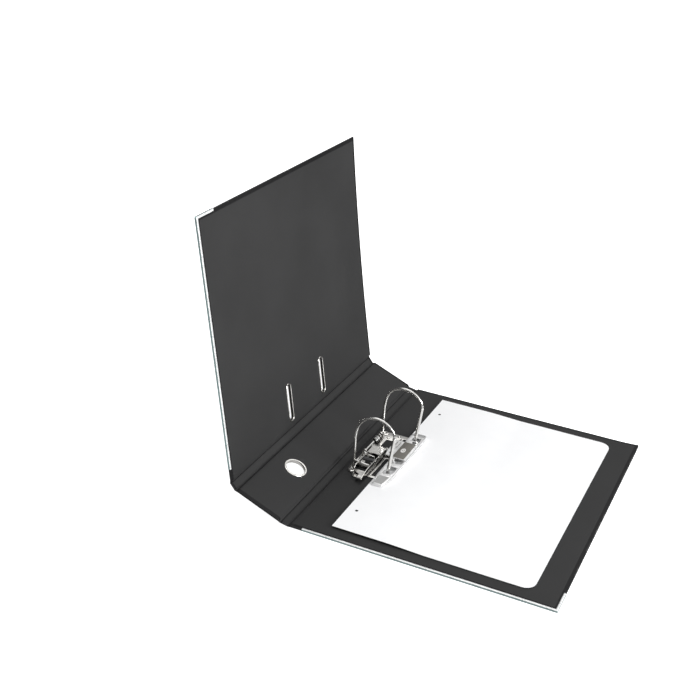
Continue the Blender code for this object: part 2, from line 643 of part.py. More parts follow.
def arch_wire():
    """Two arches, the shaft and the crank in one bent wire."""
    shaft = bent([(SHAFT_X, -ARCH_Y, LEG_TOP), (SHAFT_X, -ARCH_Y, SHAFT_Z),
                  (SHAFT_X, CRANK_Y0, SHAFT_Z), (CRANK_X, CRANK_Y0, CRANK_Z),
                  (CRANK_X, CRANK_Y1, CRANK_Z), (SHAFT_X, CRANK_Y1, SHAFT_Z),
                  (SHAFT_X, ARCH_Y, SHAFT_Z), (SHAFT_X, ARCH_Y, LEG_TOP)], WIRE_BEND)
    path = arch(-ARCH_Y) + shaft[1:-1] + arch(ARCH_Y)[::-1]
    place("arch_wire", tube(path, WIRE_R, 10), F_ARCH, M_NICKEL, smooth=True, origin=SHAFT)


def lever_wall(x0, x1, lower_edge):
    return loft([[(x, y, z) for y, z in LEVER_WALL + lower_edge] for x in (x0, x1)])


def lever_handle():
    """Two side walls joined by cross pieces, bored for both pins."""
    lever = lever_wall(LEVER_X0, LEVER_X0 + LEVER_T, LEVER_NOTCH)
    adds = [lever_wall(LEVER_X1 - LEVER_T, LEVER_X1, LEVER_PLAIN)]
    adds += [box(WEB_X0, WEB_X1, *limits) for limits in LEVER_WEBS]
    x0, x1 = LEVER_X0 - 2, LEVER_X1 + 2
    bores = [rod_x(x0, x1, PIVOT_Y, PIVOT_Z, PIVOT_R + PIVOT_BORE_GAP, 20),
             rod_x(x0, x1, ROLLER_Y, ROLLER_Z, ROLLER_BORE_R, 12)]
    place("lever_handle", cut(lever, bores, adds), F_LEVER, M_NICKEL, origin=LEVER_PIVOT)


def roller():
    """Roller between the lever's walls and its pin, headed at both ends."""
    def rod(x0, x1, radius, n=12):
        return rod_x(x0, x1, ROLLER_Y, ROLLER_Z, radius, n)

    pin = cut(rod(LEVER_X0 - 0.6, LEVER_X1 + 0.6, ROLLER_PIN_R),
              adds=[rod(LEVER_X0 - 0.9, LEVER_X0 - 0.3, ROLLER_HEAD_R),
                    rod(LEVER_X1 + 0.3, LEVER_X1 + 0.9, ROLLER_HEAD_R)])
    place("roller_pin", pin, F_LEVER, M_NICKEL, smooth=True, origin=LEVER_PIVOT)
    inset = LEVER_T + ROLLER_GAP
    body = cut(rod(LEVER_X0 + inset, LEVER_X1 - inset, ROLLER_R, 20),
               [rod(LEVER_X0, LEVER_X1, ROLLER_BORE_R)])
    place("lever_roller", body, F_ROLLER, M_ROLLER, smooth=True, origin=ROLLER)


# ============================================================ compressor
def bar_solid(inset, bottom):
    """The bar's block with its sides, top and ends moved in by inset."""
    stations = [(BAR_Y0 + inset, 46.5, 58.5, 8.4), (-49.0, 45.0, 62.5, BAR_HI),
                (48.0, 45.0, 62.5, BAR_HI), (BAR_Y1 - inset, 46.5, 61.5, 9.0)]    # y, x, x, top
    sections = []
    for y, x0, x1, top in stations:
        x0, x1, top = x0 + inset, x1 - inset, top - inset
        sections.append([(x0, y, bottom), (x1, y, bottom), (x1, y, top), (x0, y, top)])
    return loft(sections)


def lock_rod(half, radius):
    """Rod on the lock plate's hinge line."""
    return rod_y(LOCK_X, LOCK_Y - half, LOCK_Y + half, LOCK_Z, radius, 14)


def lock_lugs(spans, z0, z1):
    return [box(LOCK_X - LUG_HALF, LOCK_X + LUG_HALF, LOCK_Y + y0, LOCK_Y + y1, z0, z1)
            for y0, y1 in spans]


def compressor_bar():
    """Bar open below, slotted for the posts, with lugs for the lock pin."""
    cuts = [bar_solid(BAR_WALL, BAR_LO - 2)]
    cuts += [box(POST_SLOT_X0, POST_SLOT_X1, y - POST_SLOT_HALF, y + POST_SLOT_HALF, 9.0, 12.0)
             for y in (-ARCH_Y, ARCH_Y)]
    cuts.append(lock_rod(25, LOCK_BORE_R))
    bar = cut(bar_solid(0.0, BAR_LO), cuts, lock_lugs(BAR_LUGS, 9.9, 13.4))
    place("compressor_bar", bar, F_COMPRESSOR, M_SILVER, origin=COMPRESSOR)


def lock_pin_and_spring():
    place("lock_plate_pin", lock_rod(LOCK_PIN_HALF, LOCK_PIN_R),
          F_COMPRESSOR, M_NICKEL, smooth=True, origin=COMPRESSOR)
    coil = helix(LOCK_X, LOCK_SPRING_Y, LOCK_Z, LOCK_SPRING_R, LOCK_SPRING_PITCH,
                 turns=5, per_turn=10)
    place("lock_plate_spring", tube(coil, LOCK_SPRING_WIRE_R, 5),
          F_COMPRESSOR, M_SPRING, smooth=True, origin=COMPRESSOR)


def lock_plate():
    """Plate with a lip down its +X edge, two lugs and two slots."""
    outline = [(37.5, -6), (39.0, -LOCK_HALF + 2), (49, -LOCK_HALF), (LOCK_LIP_X, -LOCK_HALF),
               (LOCK_X1, -LOCK_HALF + 1), (LOCK_X1, LOCK_HALF - 1), (LOCK_LIP_X, LOCK_HALF),
               (49, LOCK_HALF), (37.5, LOCK_HALF - 1)]    # x, y about LOCK_Y
    plate = prism([(x, y + LOCK_Y) for x, y in outline], LOCK_LO, LOCK_HI)
    adds = lock_lugs(PLATE_LUGS, 11.1, 14.2)
    adds.append(box(LOCK_LIP_X, LOCK_X1, LOCK_Y - 15.0, LOCK_Y + 15.0, 11.4, 14.2))
    cuts = [lock_rod(25, LOCK_BORE_R)]
    cuts += [box(x, x + 1.5, LOCK_Y + 2.0, LOCK_Y + 15.0, 13, 16) for x in (40.5, 44.0)]
    place("compressor_lock_plate", cut(plate, cuts, adds), F_LOCK, M_PLATE, origin=LOCK)


# ================================================================= sheet
def sheet_z(x):
    """Underside of the sheet: level over the base plate, then drooping."""
    t = min(max((x - BASE_X1) / (SHEET_BEND - BASE_X1), 0.0), 1.0)
    return SHEET_Z + (SHEET_REST_Z - SHEET_Z) * t * t * (3 - t) / 2


def index_sheet():
    """Sheet on the posts, with rounded corners at its +X edge."""
    corner_x = SHEET_X1 - SHEET_CORNER
    even = [SHEET_X0 + (SHEET_X1 - SHEET_X0) * i / 24 for i in range(25)]
    xs = [x for x in sorted(set(even + [BASE_X1, SHEET_BEND])) if x < corner_x - 1]
    xs += [corner_x + SHEET_CORNER * math.sin(math.radians(a)) for a in (0, 22.5, 45, 67.5, 90)]
    sections = []
    for x in xs:
        half = SHEET_HALF
        if x > corner_x:
            rise = math.sqrt(max(SHEET_CORNER ** 2 - (x - corner_x) ** 2, 0.0))
            half = SHEET_HALF - SHEET_CORNER + rise
        z = sheet_z(x)
        sections.append([(x, -half, z), (x, half, z),
                         (x, half, z + SHEET_T), (x, -half, z + SHEET_T)])
    holes = [rod_z(SHEET_HOLE_X, y, 3, 8, radius, 16) for y, radius in SHEET_HOLES]
    place("index_sheet", cut(loft(sections), holes), F_BACK, M_PAPER)


# ================================================================= build
cover("back", 1, F_BACK, rivet_holes)
cover("front", -1, F_FRONT, slot_holes)
hinge_strip("rear_hinge_strip", F_REAR_CREASE)
hinge_strip("front_hinge_strip", F_FRONT_CREASE)
spine()
finger_ring()
slot_eyelet("slot_eyelet_lower", -ARCH_Y)
slot_eyelet("slot_eyelet_upper", ARCH_Y)
label()

base_plate()
for rivet_name, rivet_x, rivet_y in RIVETS:
    place(rivet_name, turned(RIVET_PROFILE, rivet_x, rivet_y, 20), F_BACK, M_NICKEL, smooth=True)
post("post_lower", -ARCH_Y)
post("post_upper", ARCH_Y)
lever_pivot_pin()
arch_spring()
arch_wire()
lever_handle()
roller()

compressor_bar()
lock_pin_and_spring()
lock_plate()
index_sheet()
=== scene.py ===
"""Looks of the lever arch ring binder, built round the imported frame.

The back cover lies flat, the spine rises from its rear (-x) side and the front
cover stands on the spine; all the folds run along y.  Lengths are millimetres
until a piece is finished, which scales it to metres.  Each cover and the spine
has its own frame: x runs across it from its score line, y along the folds and
z is the height above its outer face, towards the inside.  The mechanism uses
the frame of the back cover.
"""
import math
from contextlib import contextmanager
from functools import cached_property, reduce

import bmesh
import bpy
from mathutils import Matrix, Vector, noise


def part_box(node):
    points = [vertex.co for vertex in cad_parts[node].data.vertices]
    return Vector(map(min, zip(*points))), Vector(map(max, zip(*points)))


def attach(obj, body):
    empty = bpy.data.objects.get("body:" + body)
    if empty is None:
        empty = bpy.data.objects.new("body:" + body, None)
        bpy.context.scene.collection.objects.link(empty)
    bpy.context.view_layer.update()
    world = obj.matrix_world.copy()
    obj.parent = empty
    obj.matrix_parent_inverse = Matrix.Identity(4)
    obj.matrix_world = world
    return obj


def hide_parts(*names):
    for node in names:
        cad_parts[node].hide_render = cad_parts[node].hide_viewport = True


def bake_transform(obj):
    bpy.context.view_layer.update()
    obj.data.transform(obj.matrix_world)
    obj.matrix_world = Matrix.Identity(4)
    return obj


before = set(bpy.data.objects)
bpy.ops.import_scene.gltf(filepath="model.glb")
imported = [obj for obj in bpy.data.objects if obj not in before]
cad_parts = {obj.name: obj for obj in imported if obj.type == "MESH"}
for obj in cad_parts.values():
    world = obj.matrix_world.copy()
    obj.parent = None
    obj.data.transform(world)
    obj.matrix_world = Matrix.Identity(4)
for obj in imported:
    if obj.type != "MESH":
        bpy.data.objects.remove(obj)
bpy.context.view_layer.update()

MM = 0.001
scene = bpy.context.scene
rad = math.radians

# ------------------------------------------------------------ case dimensions
CASE_LENGTH = 350.0         # along the folds
COVER_WIDTH = 288.0
SPINE_WIDTH = 59.0
FOLD_WIDTH = 8.5
BOARD = 2.8                 # thickness of a covered board
SPINE_ANGLE, FRONT_ANGLE = 22.0, 82.0
REAR_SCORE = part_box("back_cover_board")[0].x * 1000 - 1.6
HALF = CASE_LENGTH / 2
FOLD_START = 1.4            # the flexible fold starts this far from a score line
INSET = 0.35                # the covering stops this far inside the full outline
ROUND = 1.1                 # rounding of a covered board's edge
SKIN = 0.75                 # thickness of the covering alone, at the fold
TURN_IN = 4.5               # width of the covering turned in round the edges
LINING_INSET = TURN_IN + 0.1
LINING_UP, LINING_DOWN = 0.13, 0.14     # lining above and below the inner face
RING_X, RING_Y = SPINE_WIDTH / 2, -91.0     # finger ring
POST_Y = 40.0               # posts, arches and slots lie at plus and minus this
SLOT_X0, SLOT_X1, SLOT_HALF = 10.5, 54.5, 4.0
RIVETS = [("rivet_lower_left", 13.5, -46.5), ("rivet_upper_left", 13.5, 46.5),
          ("rivet_lower_right", 58.0, -47.5), ("rivet_upper_right", 58.0, 47.5)]


def clamp01(value):
    return min(max(value, 0.0), 1.0)


def smooth01(value):
    value = clamp01(value)
    return value * value * (3 - 2 * value)


# --------------------------------------------------------------- panel frames
class Panel:
    """Frame of one stiff panel; axes are its across and normal in (x, z)."""

    def __init__(self, origin, axes, bow=None):
        self.origin = origin
        self.across, self.normal = axes
        self.bow = bow

    def place(self, point):
        x, y, z = point
        if self.bow:
            z += self.bow(x, y)
        return Vector((self.origin[0] + self.across[0] * x + self.normal[0] * z, y,
                       self.origin[1] + self.across[1] * x + self.normal[1] * z))


def tilted(angle):
    """Axes of a panel rising towards -x."""
    angle = rad(angle)
    return (-math.cos(angle), math.sin(angle)), (math.sin(angle), math.cos(angle))


def climb(start, length, angle):
    return start[0] - length * math.cos(rad(angle)), start[1] + length * math.sin(rad(angle))


def front_bow(x, y):
    """The +y part of the standing cover bows outwards a little."""
    part = clamp01(x / COVER_WIDTH)
    return -2.4 * 4 * part * (1 - part) * max((y + HALF) / CASE_LENGTH, 0.0) ** 1.6


def back_lift(x, y):
    """One free corner of the lying cover is bumped up a little."""
    near = max(0.0, 1 - math.hypot(COVER_WIDTH - x, HALF - y) / 26.0)
    return 1.2 * near * near


FLAT_AXES = ((1.0, 0.0), (0.0, 1.0))
score_back = (REAR_SCORE, 0.0)
score_spine = climb(score_back, FOLD_WIDTH, SPINE_ANGLE / 2)
spine_end = climb(score_spine, SPINE_WIDTH, SPINE_ANGLE)
score_front = climb(spine_end, FOLD_WIDTH, (SPINE_ANGLE + FRONT_ANGLE) / 2)
BACK = Panel(score_back, FLAT_AXES, back_lift)
SPINE = Panel(score_spine, tilted(SPINE_ANGLE))
FRONT = Panel(score_front, tilted(FRONT_ANGLE), front_bow)
MECHANISM = Panel(score_back, FLAT_AXES)


# ============================================================== mesh helpers
@contextmanager
def editing(mesh):
    bm = bmesh.new()
    bm.from_mesh(mesh)
    yield bm
    bm.to_mesh(mesh)
    bm.free()


def add_object(mesh):
    ob = bpy.data.objects.new("tmp", mesh)
    scene.collection.objects.link(ob)
    return ob


def turn_outwards(mesh):
    with editing(mesh) as bm:
        bmesh.ops.recalc_face_normals(bm, faces=bm.faces)


def solid(verts, faces):
    mesh = bpy.data.meshes.new("tmp")
    mesh.from_pydata([tuple(v) for v in verts], [], faces)
    turn_outwards(mesh)
    return add_object(mesh)


def evaluated_mesh(ob):
    graph = bpy.context.evaluated_depsgraph_get()
    graph.update()
    return bpy.data.meshes.new_from_object(ob.evaluated_get(graph))


def apply_modifiers(ob):
    mesh = evaluated_mesh(ob)
    ob.modifiers.clear()
    ob.data = mesh


def cut(ob, cutters):
    for cutter in cutters:
        mod = ob.modifiers.new("difference", 'BOOLEAN')
        mod.operation = 'DIFFERENCE'
        mod.solver = 'EXACT'
        mod.object = cutter
    apply_modifiers(ob)
    for cutter in cutters:
        bpy.data.objects.remove(cutter, do_unlink=True)
    return ob


def bevel(ob, width, segments, angle):
    """Rounds the sharp edges.  Coplanar triangles are dissolved first."""
    with editing(ob.data) as bm:
        bmesh.ops.remove_doubles(bm, verts=bm.verts, dist=1e-4)
        bmesh.ops.dissolve_limit(bm, angle_limit=rad(1.0), verts=bm.verts, edges=bm.edges)
    mod = ob.modifiers.new("bevel", 'BEVEL')
    mod.width = width
    mod.segments = segments
    mod.limit_method = 'ANGLE'
    mod.angle_limit = rad(angle)
    mod.miter_outer = 'MITER_ARC'
    apply_modifiers(ob)
    return ob


def box(x0, x1, y0, y1, z0, z1):
    verts = [(x, y, z) for z in (z0, z1) for y in (y0, y1) for x in (x0, x1)]
    return solid(verts, [(0, 2, 3, 1), (4, 5, 7, 6), (0, 1, 5, 4),
                         (1, 3, 7, 5), (3, 2, 6, 7), (2, 0, 4, 6)])


def loft(sections, closed=False):
    """Solid through rings of equally many points; closed joins last to first."""
    count, rows = len(sections[0]), len(sections)
    faces = []
    if not closed:
        faces += [tuple(range(count - 1, -1, -1)),
                  tuple(range(count * (rows - 1), count * rows))]
    for k in range(rows if closed else rows - 1):
        a, b = k * count, ((k + 1) % rows) * count
        faces += [(a + i, a + (i + 1) % count, b + (i + 1) % count, b + i)
                  for i in range(count)]
    return solid([p for section in sections for p in section], faces)


def prism(outline, z0, z1):
    return loft([[(x, y, z) for x, y in outline] for z in (z0, z1)])


def two_sided(top, bottom, rows, columns):
    """Closed sheet between two grids of points, listed row by row."""
    total = rows * columns
    faces = []
    for i in range(rows - 1):
        for j in range(columns - 1):
            a = i * columns + j
            b = a + columns
            faces.append((a, b, b + 1, a + 1))
            faces.append((total + a, total + a + 1, total + b + 1, total + b))
    edge = [i * columns for i in range(rows)]
    edge += [(rows - 1) * columns + j for j in range(1, columns)]
    edge += [i * columns + columns - 1 for i in range(rows - 2, -1, -1)]
    edge += list(range(columns - 2, 0, -1))
    for a, b in zip(edge, edge[1:] + edge[:1]):
        faces.append((a, b, total + b, total + a))
    return solid(top + bottom, faces)


def oval(x, y, radius_x, radius_y, count):
    return [(x + radius_x * math.cos(2 * math.pi * i / count),
             y + radius_y * math.sin(2 * math.pi * i / count)) for i in range(count)]


def circle(x, y, radius, count):
    return oval(x, y, radius, radius, count)


def rounded_rect(x0, x1, y0, y1, radius, steps=6):
    points = []
    for x, y, start in ((x1 - radius, y0 + radius, -90), (x1 - radius, y1 - radius, 0),
                        (x0 + radius, y1 - radius, 90), (x0 + radius, y0 + radius, 180)):
        for i in range(steps + 1):
            angle = rad(start + 90 * i / steps)
            points.append((x + radius * math.cos(angle), y + radius * math.sin(angle)))
    return points


def soften(outline, radius, steps=5):
    """Outline with its corners rounded by parabolas."""
    points = []
    count = len(outline)
    for i in range(count):
        before, corner, after = (Vector(outline[(i + k) % count]).to_3d() for k in (-1, 0, 1))
        reach = min(radius, (before - corner).length * 0.45, (after - corner).length * 0.45)
        start = corner + (before - corner).normalized() * reach
        end = corner + (after - corner).normalized() * reach
        for k in range(steps + 1):
            t = k / steps
            p = start * (1 - t) ** 2 + corner * 2 * t * (1 - t) + end * t * t
            points.append((p.x, p.y))
    return points


def rod(start, end, radius, count, edge=0.0, steps=3):
    """Cylinder between two points with its rims rounded by edge."""
    start, end = Vector(start), Vector(end)
    axis = end - start
    turn = axis.to_track_quat('Z', 'Y')
    rows = [(0.0, radius)]                  # (height, radius)
    if edge > 0:
        angles = [math.pi / 2 * k / steps for k in range(steps + 1)]
        rows = [(edge - edge * math.cos(a), radius - edge + edge * math.sin(a)) for a in angles]
    rows += [(axis.length - height, r) for height, r in reversed(rows)]
    return loft([[start + turn @ Vector((x, y, height)) for x, y in circle(0, 0, r, count)]
                 for height, r in rows])


def turned(profile, centre, count):
    """Solid of revolution about a vertical axis; profile is (radius, z)."""
    verts, faces, rows = [(*centre, profile[0][1])], [], []
    for radius, z in profile[1:-1]:
        rows.append(len(verts))
        verts += [(x, y, z) for x, y in circle(*centre, radius, count)]
    verts.append((*centre, profile[-1][1]))
    top = len(verts) - 1
    for i in range(count):
        j = (i + 1) % count
        faces.append((0, rows[0] + j, rows[0] + i))
        faces.append((top, rows[-1] + i, rows[-1] + j))
        for a, b in zip(rows, rows[1:]):
            faces.append((a + i, a + j, b + j, b + i))
    return solid(verts, faces)


def rim(outline, profile):
    """Closed rim through (offset, z) points; outline(offset) is its plan there."""
    loops = [outline(offset) for offset, z in profile]
    return loft([[(x, y, z) for (x, y), (_, z) in zip(points, profile)]
                 for points in zip(*loops)], closed=True)


def tangents(points):
    last = len(points) - 1
    return [(points[min(i + 1, last)] - points[max(i - 1, 0)]).normalized()
            for i in range(last + 1)]


# (shift along the wire, scale of the radius) of the rings of a domed wire end
WIRE_END = [(0.5 * (1 - math.sin(rad(a))), math.cos(rad(a))) for a in (80, 60, 38, 18)]
WIRE_END.append((0.5, 1.0))


def tube(path, radius, count):
    """Round wire swept along a path of points, ends domed."""
    points = [Vector(p) for p in path]
    along = tangents(points)
    up = Vector((0, 1, 0)) if abs(along[0].y) < 0.9 else Vector((1, 0, 0))
    side = (up - along[0] * up.dot(along[0])).normalized()
    rings = []
    for i, (point, tangent) in enumerate(zip(points, along)):
        if i:
            side = along[i - 1].rotation_difference(tangent) @ side
            side = (side - tangent * side.dot(tangent)).normalized()
        other = tangent.cross(side)
        spokes = [(side * c + other * s) * radius for c, s in circle(0, 0, 1.0, count)]
        if i == 0:
            ends = WIRE_END
        elif i == len(points) - 1:
            ends = [(-shift, scale) for shift, scale in reversed(WIRE_END)]
        else:
            ends = [(0.0, 1.0)]
        for shift, scale in ends:
            centre = point + tangent * radius * shift
            rings.append([centre + spoke * scale for spoke in spokes])
    return loft(rings)


def bezier(a, b, c, d, steps, start=0):
    a, b, c, d = Vector(a), Vector(b), Vector(c), Vector(d)
    points = []
    for i in range(start, steps + 1):
        t = i / steps
        points.append(a * (1 - t) ** 3 + b * 3 * t * (1 - t) ** 2
                      + c * 3 * t * t * (1 - t) + d * t ** 3)
    return points


def bent(points, radius, steps):
    """Polyline with every inner corner turned into an arc."""
    points = [Vector(p) for p in points]
    path = [points[0]]
    for before, corner, after in zip(points, points[1:], points[2:]):
        back, ahead = (before - corner).normalized(), (after - corner).normalized()
        half_angle = back.angle(ahead) / 2
        reach = radius / math.tan(half_angle)
        centre = corner + (back + ahead).normalized() * (radius / math.sin(half_angle))
        first = (corner + back * reach - centre).normalized()
        last = (corner + ahead * reach - centre).normalized()
        for i in range(steps + 1):
            path.append(centre + first.slerp(last, i / steps) * radius)
    path.append(points[-1])
    return path


def plate(loops, z0, z1, edge=0.15, steps=3):
    """Flat stamped plate with rounded edges; the first plan outline is its
    outside and the rest are its holes."""
    curve = bpy.data.curves.new("tmp", 'CURVE')
    curve.dimensions = '2D'
    curve.fill_mode = 'BOTH'
    curve.extrude = (z1 - z0) / 2 - edge
    curve.bevel_depth = edge
    curve.bevel_resolution = steps
    curve.offset = -edge
    for loop in loops:
        spline = curve.splines.new('POLY')
        spline.points.add(len(loop) - 1)
        for point, (x, y) in zip(spline.points, loop):
            point.co = (x, y, 0, 1)
        spline.use_cyclic_u = True
    ob = add_object(curve)
    mesh = evaluated_mesh(ob)
    bpy.data.objects.remove(ob, do_unlink=True)
    mesh.transform(Matrix.Translation((0, 0, (z0 + z1) / 2)))
    with editing(mesh) as bm:
        bmesh.ops.remove_doubles(bm, verts=bm.verts, dist=2e-4)
        bmesh.ops.recalc_face_normals(bm, faces=bm.faces)
    return add_object(mesh)


def standing_plate(loops, axis, start, end, edge=0.15, steps=2):
    """Upright plate from start to end along an axis.  Its outlines are (y, z)
    for axis 'X' and (x, z) for axis 'Y'."""
    ob = plate(loops, 0, end - start, edge, steps)
    if axis == 'X':
        rows = ((0, 0, 1, start), (1, 0, 0, 0), (0, 1, 0, 0), (0, 0, 0, 1))
    else:
        rows = ((1, 0, 0, 0), (0, 0, -1, end), (0, 1, 0, 0), (0, 0, 0, 1))
    ob.data.transform(Matrix(rows))
    turn_outwards(ob.data)
    return ob


def join(parts):
    """Several shells in one object."""
    bm = bmesh.new()
    for part in parts:
        bm.from_mesh(part.data)
    mesh = bpy.data.meshes.new("tmp")
    bm.to_mesh(mesh)
    bm.free()
    for part in parts:
        bpy.data.objects.remove(part, do_unlink=True)
    return add_object(mesh)


def join_by_material(parts):
    slots = [slot for slot, part in parts for _ in part.data.polygons]
    return join([part for _, part in parts]), lambda face: slots[face.index]


def finish(name, ob, materials, body, stands_for, place=MECHANISM.place, angle=38.0,
           pick=None, blend=None):
    """Places, scales, names, shades and attaches a piece.

    pick(face) gives a face's material slot, judged before placing.  blend is
    (body, body, start, end) for a piece between two bodies; its values are not
    used, and such a piece is only left in place, unattached to any body.
    """
    mesh = ob.data
    if pick:
        mesh.update()
        picks = [pick(face) for face in mesh.polygons]
    for vert in mesh.vertices:
        vert.co = place(vert.co)
        vert.co = vert.co * MM
    mesh.materials.clear()
    for material in materials:
        mesh.materials.append(material)
    mesh.update()
    if pick:
        for face, index in zip(mesh.polygons, picks):
            face.material_index = index
    mesh.shade_smooth()
    mesh.set_sharp_from_angle(angle=rad(angle))
    ob.name = name
    mesh.name = name
    if blend:
        Vector(blend[2]) * MM
        Vector(blend[3]) * MM
        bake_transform(ob)
    else:
        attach(ob, body)
    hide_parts(*stands_for)


# ================================================================= materials
class Nodes:
    """Short way to add nodes to a tree; an input takes a value or a socket."""

    def __init__(self, tree):
        self.tree = tree

    def fill(self, socket, value):
        if isinstance(value, bpy.types.NodeSocket):
            self.tree.links.new(value, socket)
        elif socket.type == 'RGBA' and len(value) == 3:
            socket.default_value = (*value, 1.0)
        else:
            socket.default_value = value

    def node(self, kind, inputs=None, **settings):
        node = self.tree.nodes.new(kind)
        for key, value in settings.items():
            setattr(node, key, value)
        for key, value in (inputs or {}).items():
            self.fill(node.inputs[key], value)
        return node

    def span(self, value, to, source=(0.0, 1.0)):
        """Maps the source range onto the range to."""
        return self.node("ShaderNodeMapRange", {
            "Value": value, "From Min": source[0], "From Max": source[1],
            "To Min": to[0], "To Max": to[1]}).outputs["Result"]

    def ramp(self, value, stops):
        node = self.node("ShaderNodeValToRGB", {"Fac": value})
        elements = node.color_ramp.elements
        while len(elements) < len(stops):
            elements.new(0.5)
        for element, (position, colour) in zip(elements, stops):
            element.position = position
            element.color = (*colour, 1.0)
        return node.outputs["Color"]

    def math(self, operation, a, b):
        return self.node("ShaderNodeMath", {0: a, 1: b}, operation=operation).outputs["Value"]

    def weighted(self, *terms):
        """Sum of (value, weight) terms."""
        scaled = [self.math('MULTIPLY', value, weight) for value, weight in terms]
        return reduce(lambda a, b: self.math('ADD', a, b), scaled)

    def mix_colour(self, factor, a, b):
        return self.node("ShaderNodeMix", {0: factor, 6: a, 7: b}, data_type='RGBA').outputs[2]

    def mix_value(self, factor, a, b):
        return self.node("ShaderNodeMix", {0: factor, 2: a, 3: b}, data_type='FLOAT').outputs[0]


class Mat(Nodes):
    """Node material on a Principled shader."""

    def __init__(self, name, **inputs):
        self.material = bpy.data.materials.new(name)
        self.material.use_nodes = True
        super().__init__(self.material.node_tree)
        self.set(**inputs)

    @cached_property
    def coord(self):
        return self.node("ShaderNodeTexCoord").outputs["Object"]

    def set(self, **inputs):
        """Sets shader inputs, an underscore standing for a space."""
        shader = self.tree.nodes["Principled BSDF"]
        for key, value in inputs.items():
            self.fill(shader.inputs[key.replace("_", " ")], value)
        return self.material

    def stretch(self, scale, turn=(0, 0, 0)):
        return self.node("ShaderNodeMapping", {"Vector": self.coord, "Scale": scale,
                                               "Rotation": turn}).outputs["Vector"]

    def noise(self, scale, detail=3.0, rough=0.5, coord=None):
        return self.node("ShaderNodeTexNoise", {
            "Vector": coord or self.coord, "Scale": scale, "Detail": detail,
            "Roughness": rough}).outputs["Fac"]

    def voronoi(self, scale, feature='F1'):
        return self.node("ShaderNodeTexVoronoi", {"Vector": self.coord, "Scale": scale},
                         feature=feature).outputs["Distance"]

    def wave(self, scale, direction, distortion):
        return self.node("ShaderNodeTexWave", {
            "Vector": self.coord, "Scale": scale, "Distortion": distortion},
            bands_direction=direction).outputs["Fac"]

    def bump(self, height, strength, distance, under=None):
        inputs = {"Height": height, "Strength": strength, "Distance": distance}
        if under is not None:
            inputs["Normal"] = under
        return self.node("ShaderNodeBump", inputs).outputs["Normal"]


def grained(name, dark, light, roughness, grain, depth, wear, shine):
    """Covering paper: embossed grain, faint clouds of tone, rubbed edges."""
    m = Mat(name)
    cloud = m.noise(scale=9.0, detail=5.0, rough=0.6)
    fine = m.noise(scale=900.0, rough=0.6)
    colour = m.ramp(m.weighted((cloud, 0.7), (fine, 0.3)), [(0.3, dark), (0.7, light)])
    pointiness = m.node("ShaderNodeNewGeometry").outputs["Pointiness"]
    patches = m.span(m.noise(scale=120.0, detail=4.0), to=(0.0, 1.0), source=(0.45, 0.7))
    rub = m.math('MULTIPLY', m.span(pointiness, to=(0.0, 1.0), source=(0.505, 0.56)), patches)
    colour = m.mix_colour(m.math('MULTIPLY', rub, wear), colour, (0.16, 0.155, 0.15))
    weave = m.math('MULTIPLY', m.wave(grain * 0.22, 'X', distortion=1.5),
                   m.wave(grain * 0.22, 'Y', distortion=1.5))
    relief = m.weighted((m.voronoi(grain, 'SMOOTH_F1'), 0.7), (weave, 0.3),
                        (m.noise(scale=grain * 2.2, detail=2.0), 0.35))
    swell = m.bump(m.noise(scale=28.0), strength=0.12, distance=0.0006)
    return m.set(Base_Color=colour, Specular_IOR_Level=shine,
                 Roughness=m.span(m.weighted((cloud, 0.6), (fine, 0.4)),
                                  to=(roughness - 0.06, roughness + 0.08), source=(0.25, 0.75)),
                 Normal=m.bump(relief, strength=0.55, distance=depth, under=swell))


def plated(name, tint, roughness, wave, scratch=0.25, hollow=0.9, metal=1.0):
    """Bright plated steel: slightly wavy, hairline scratches, faint stains,
    and painted shade that darkens it in hollows and between parts."""
    m = Mat(name, Metallic=metal)
    stain = m.noise(scale=140.0, detail=5.0, rough=0.65)
    hairs = m.math('MAXIMUM',
                   m.noise(scale=260.0, coord=m.stretch((1.0, 26.0, 1.0), (0.2, 0.1, 0.5))),
                   m.noise(scale=320.0, coord=m.stretch((30.0, 1.0, 4.0), (0.0, 0.5, 0.9))))
    colour = m.ramp(stain, [(0.25, tuple(c * 0.86 for c in tint)), (0.6, tint),
                            (0.85, tuple(min(1, c * 1.05) for c in tint))])
    rough = m.math('ADD', m.span(stain, to=(roughness * 0.7, roughness * 1.5), source=(0.25, 0.8)),
                   m.math('MULTIPLY', m.span(hairs, to=(0.0, 1.0), source=(0.62, 0.75)),
                          scratch * 0.3))
    swell = m.bump(m.noise(scale=95.0, detail=2.0), strength=wave, distance=0.0012)
    # painted shade: ambient occlusion mixes the colour towards near black in hollows and gaps
    # between parts; hollow sets how far
    if hollow:
        occlusion = m.node("ShaderNodeAmbientOcclusion", {"Distance": 0.012}, samples=6)
        openness = m.span(occlusion.outputs["AO"], to=(1.0 - hollow, 1.0), source=(0.25, 0.8))
        colour = m.mix_colour(openness, (0.03, 0.03, 0.03), colour)
    return m.set(Base_Color=colour, Roughness=rough,
                 Normal=m.bump(hairs, strength=0.06, distance=0.00006, under=swell))


def roller_plastic():
    m = Mat("roller_plastic")
    fine = m.noise(scale=700.0)
    return m.set(Base_Color=m.ramp(fine, [(0.3, (0.028, 0.028, 0.03)), (0.7, (0.05, 0.05, 0.052))]),
                 Roughness=m.span(fine, to=(0.3, 0.48)),
                 Normal=m.bump(fine, strength=0.2, distance=0.00004))


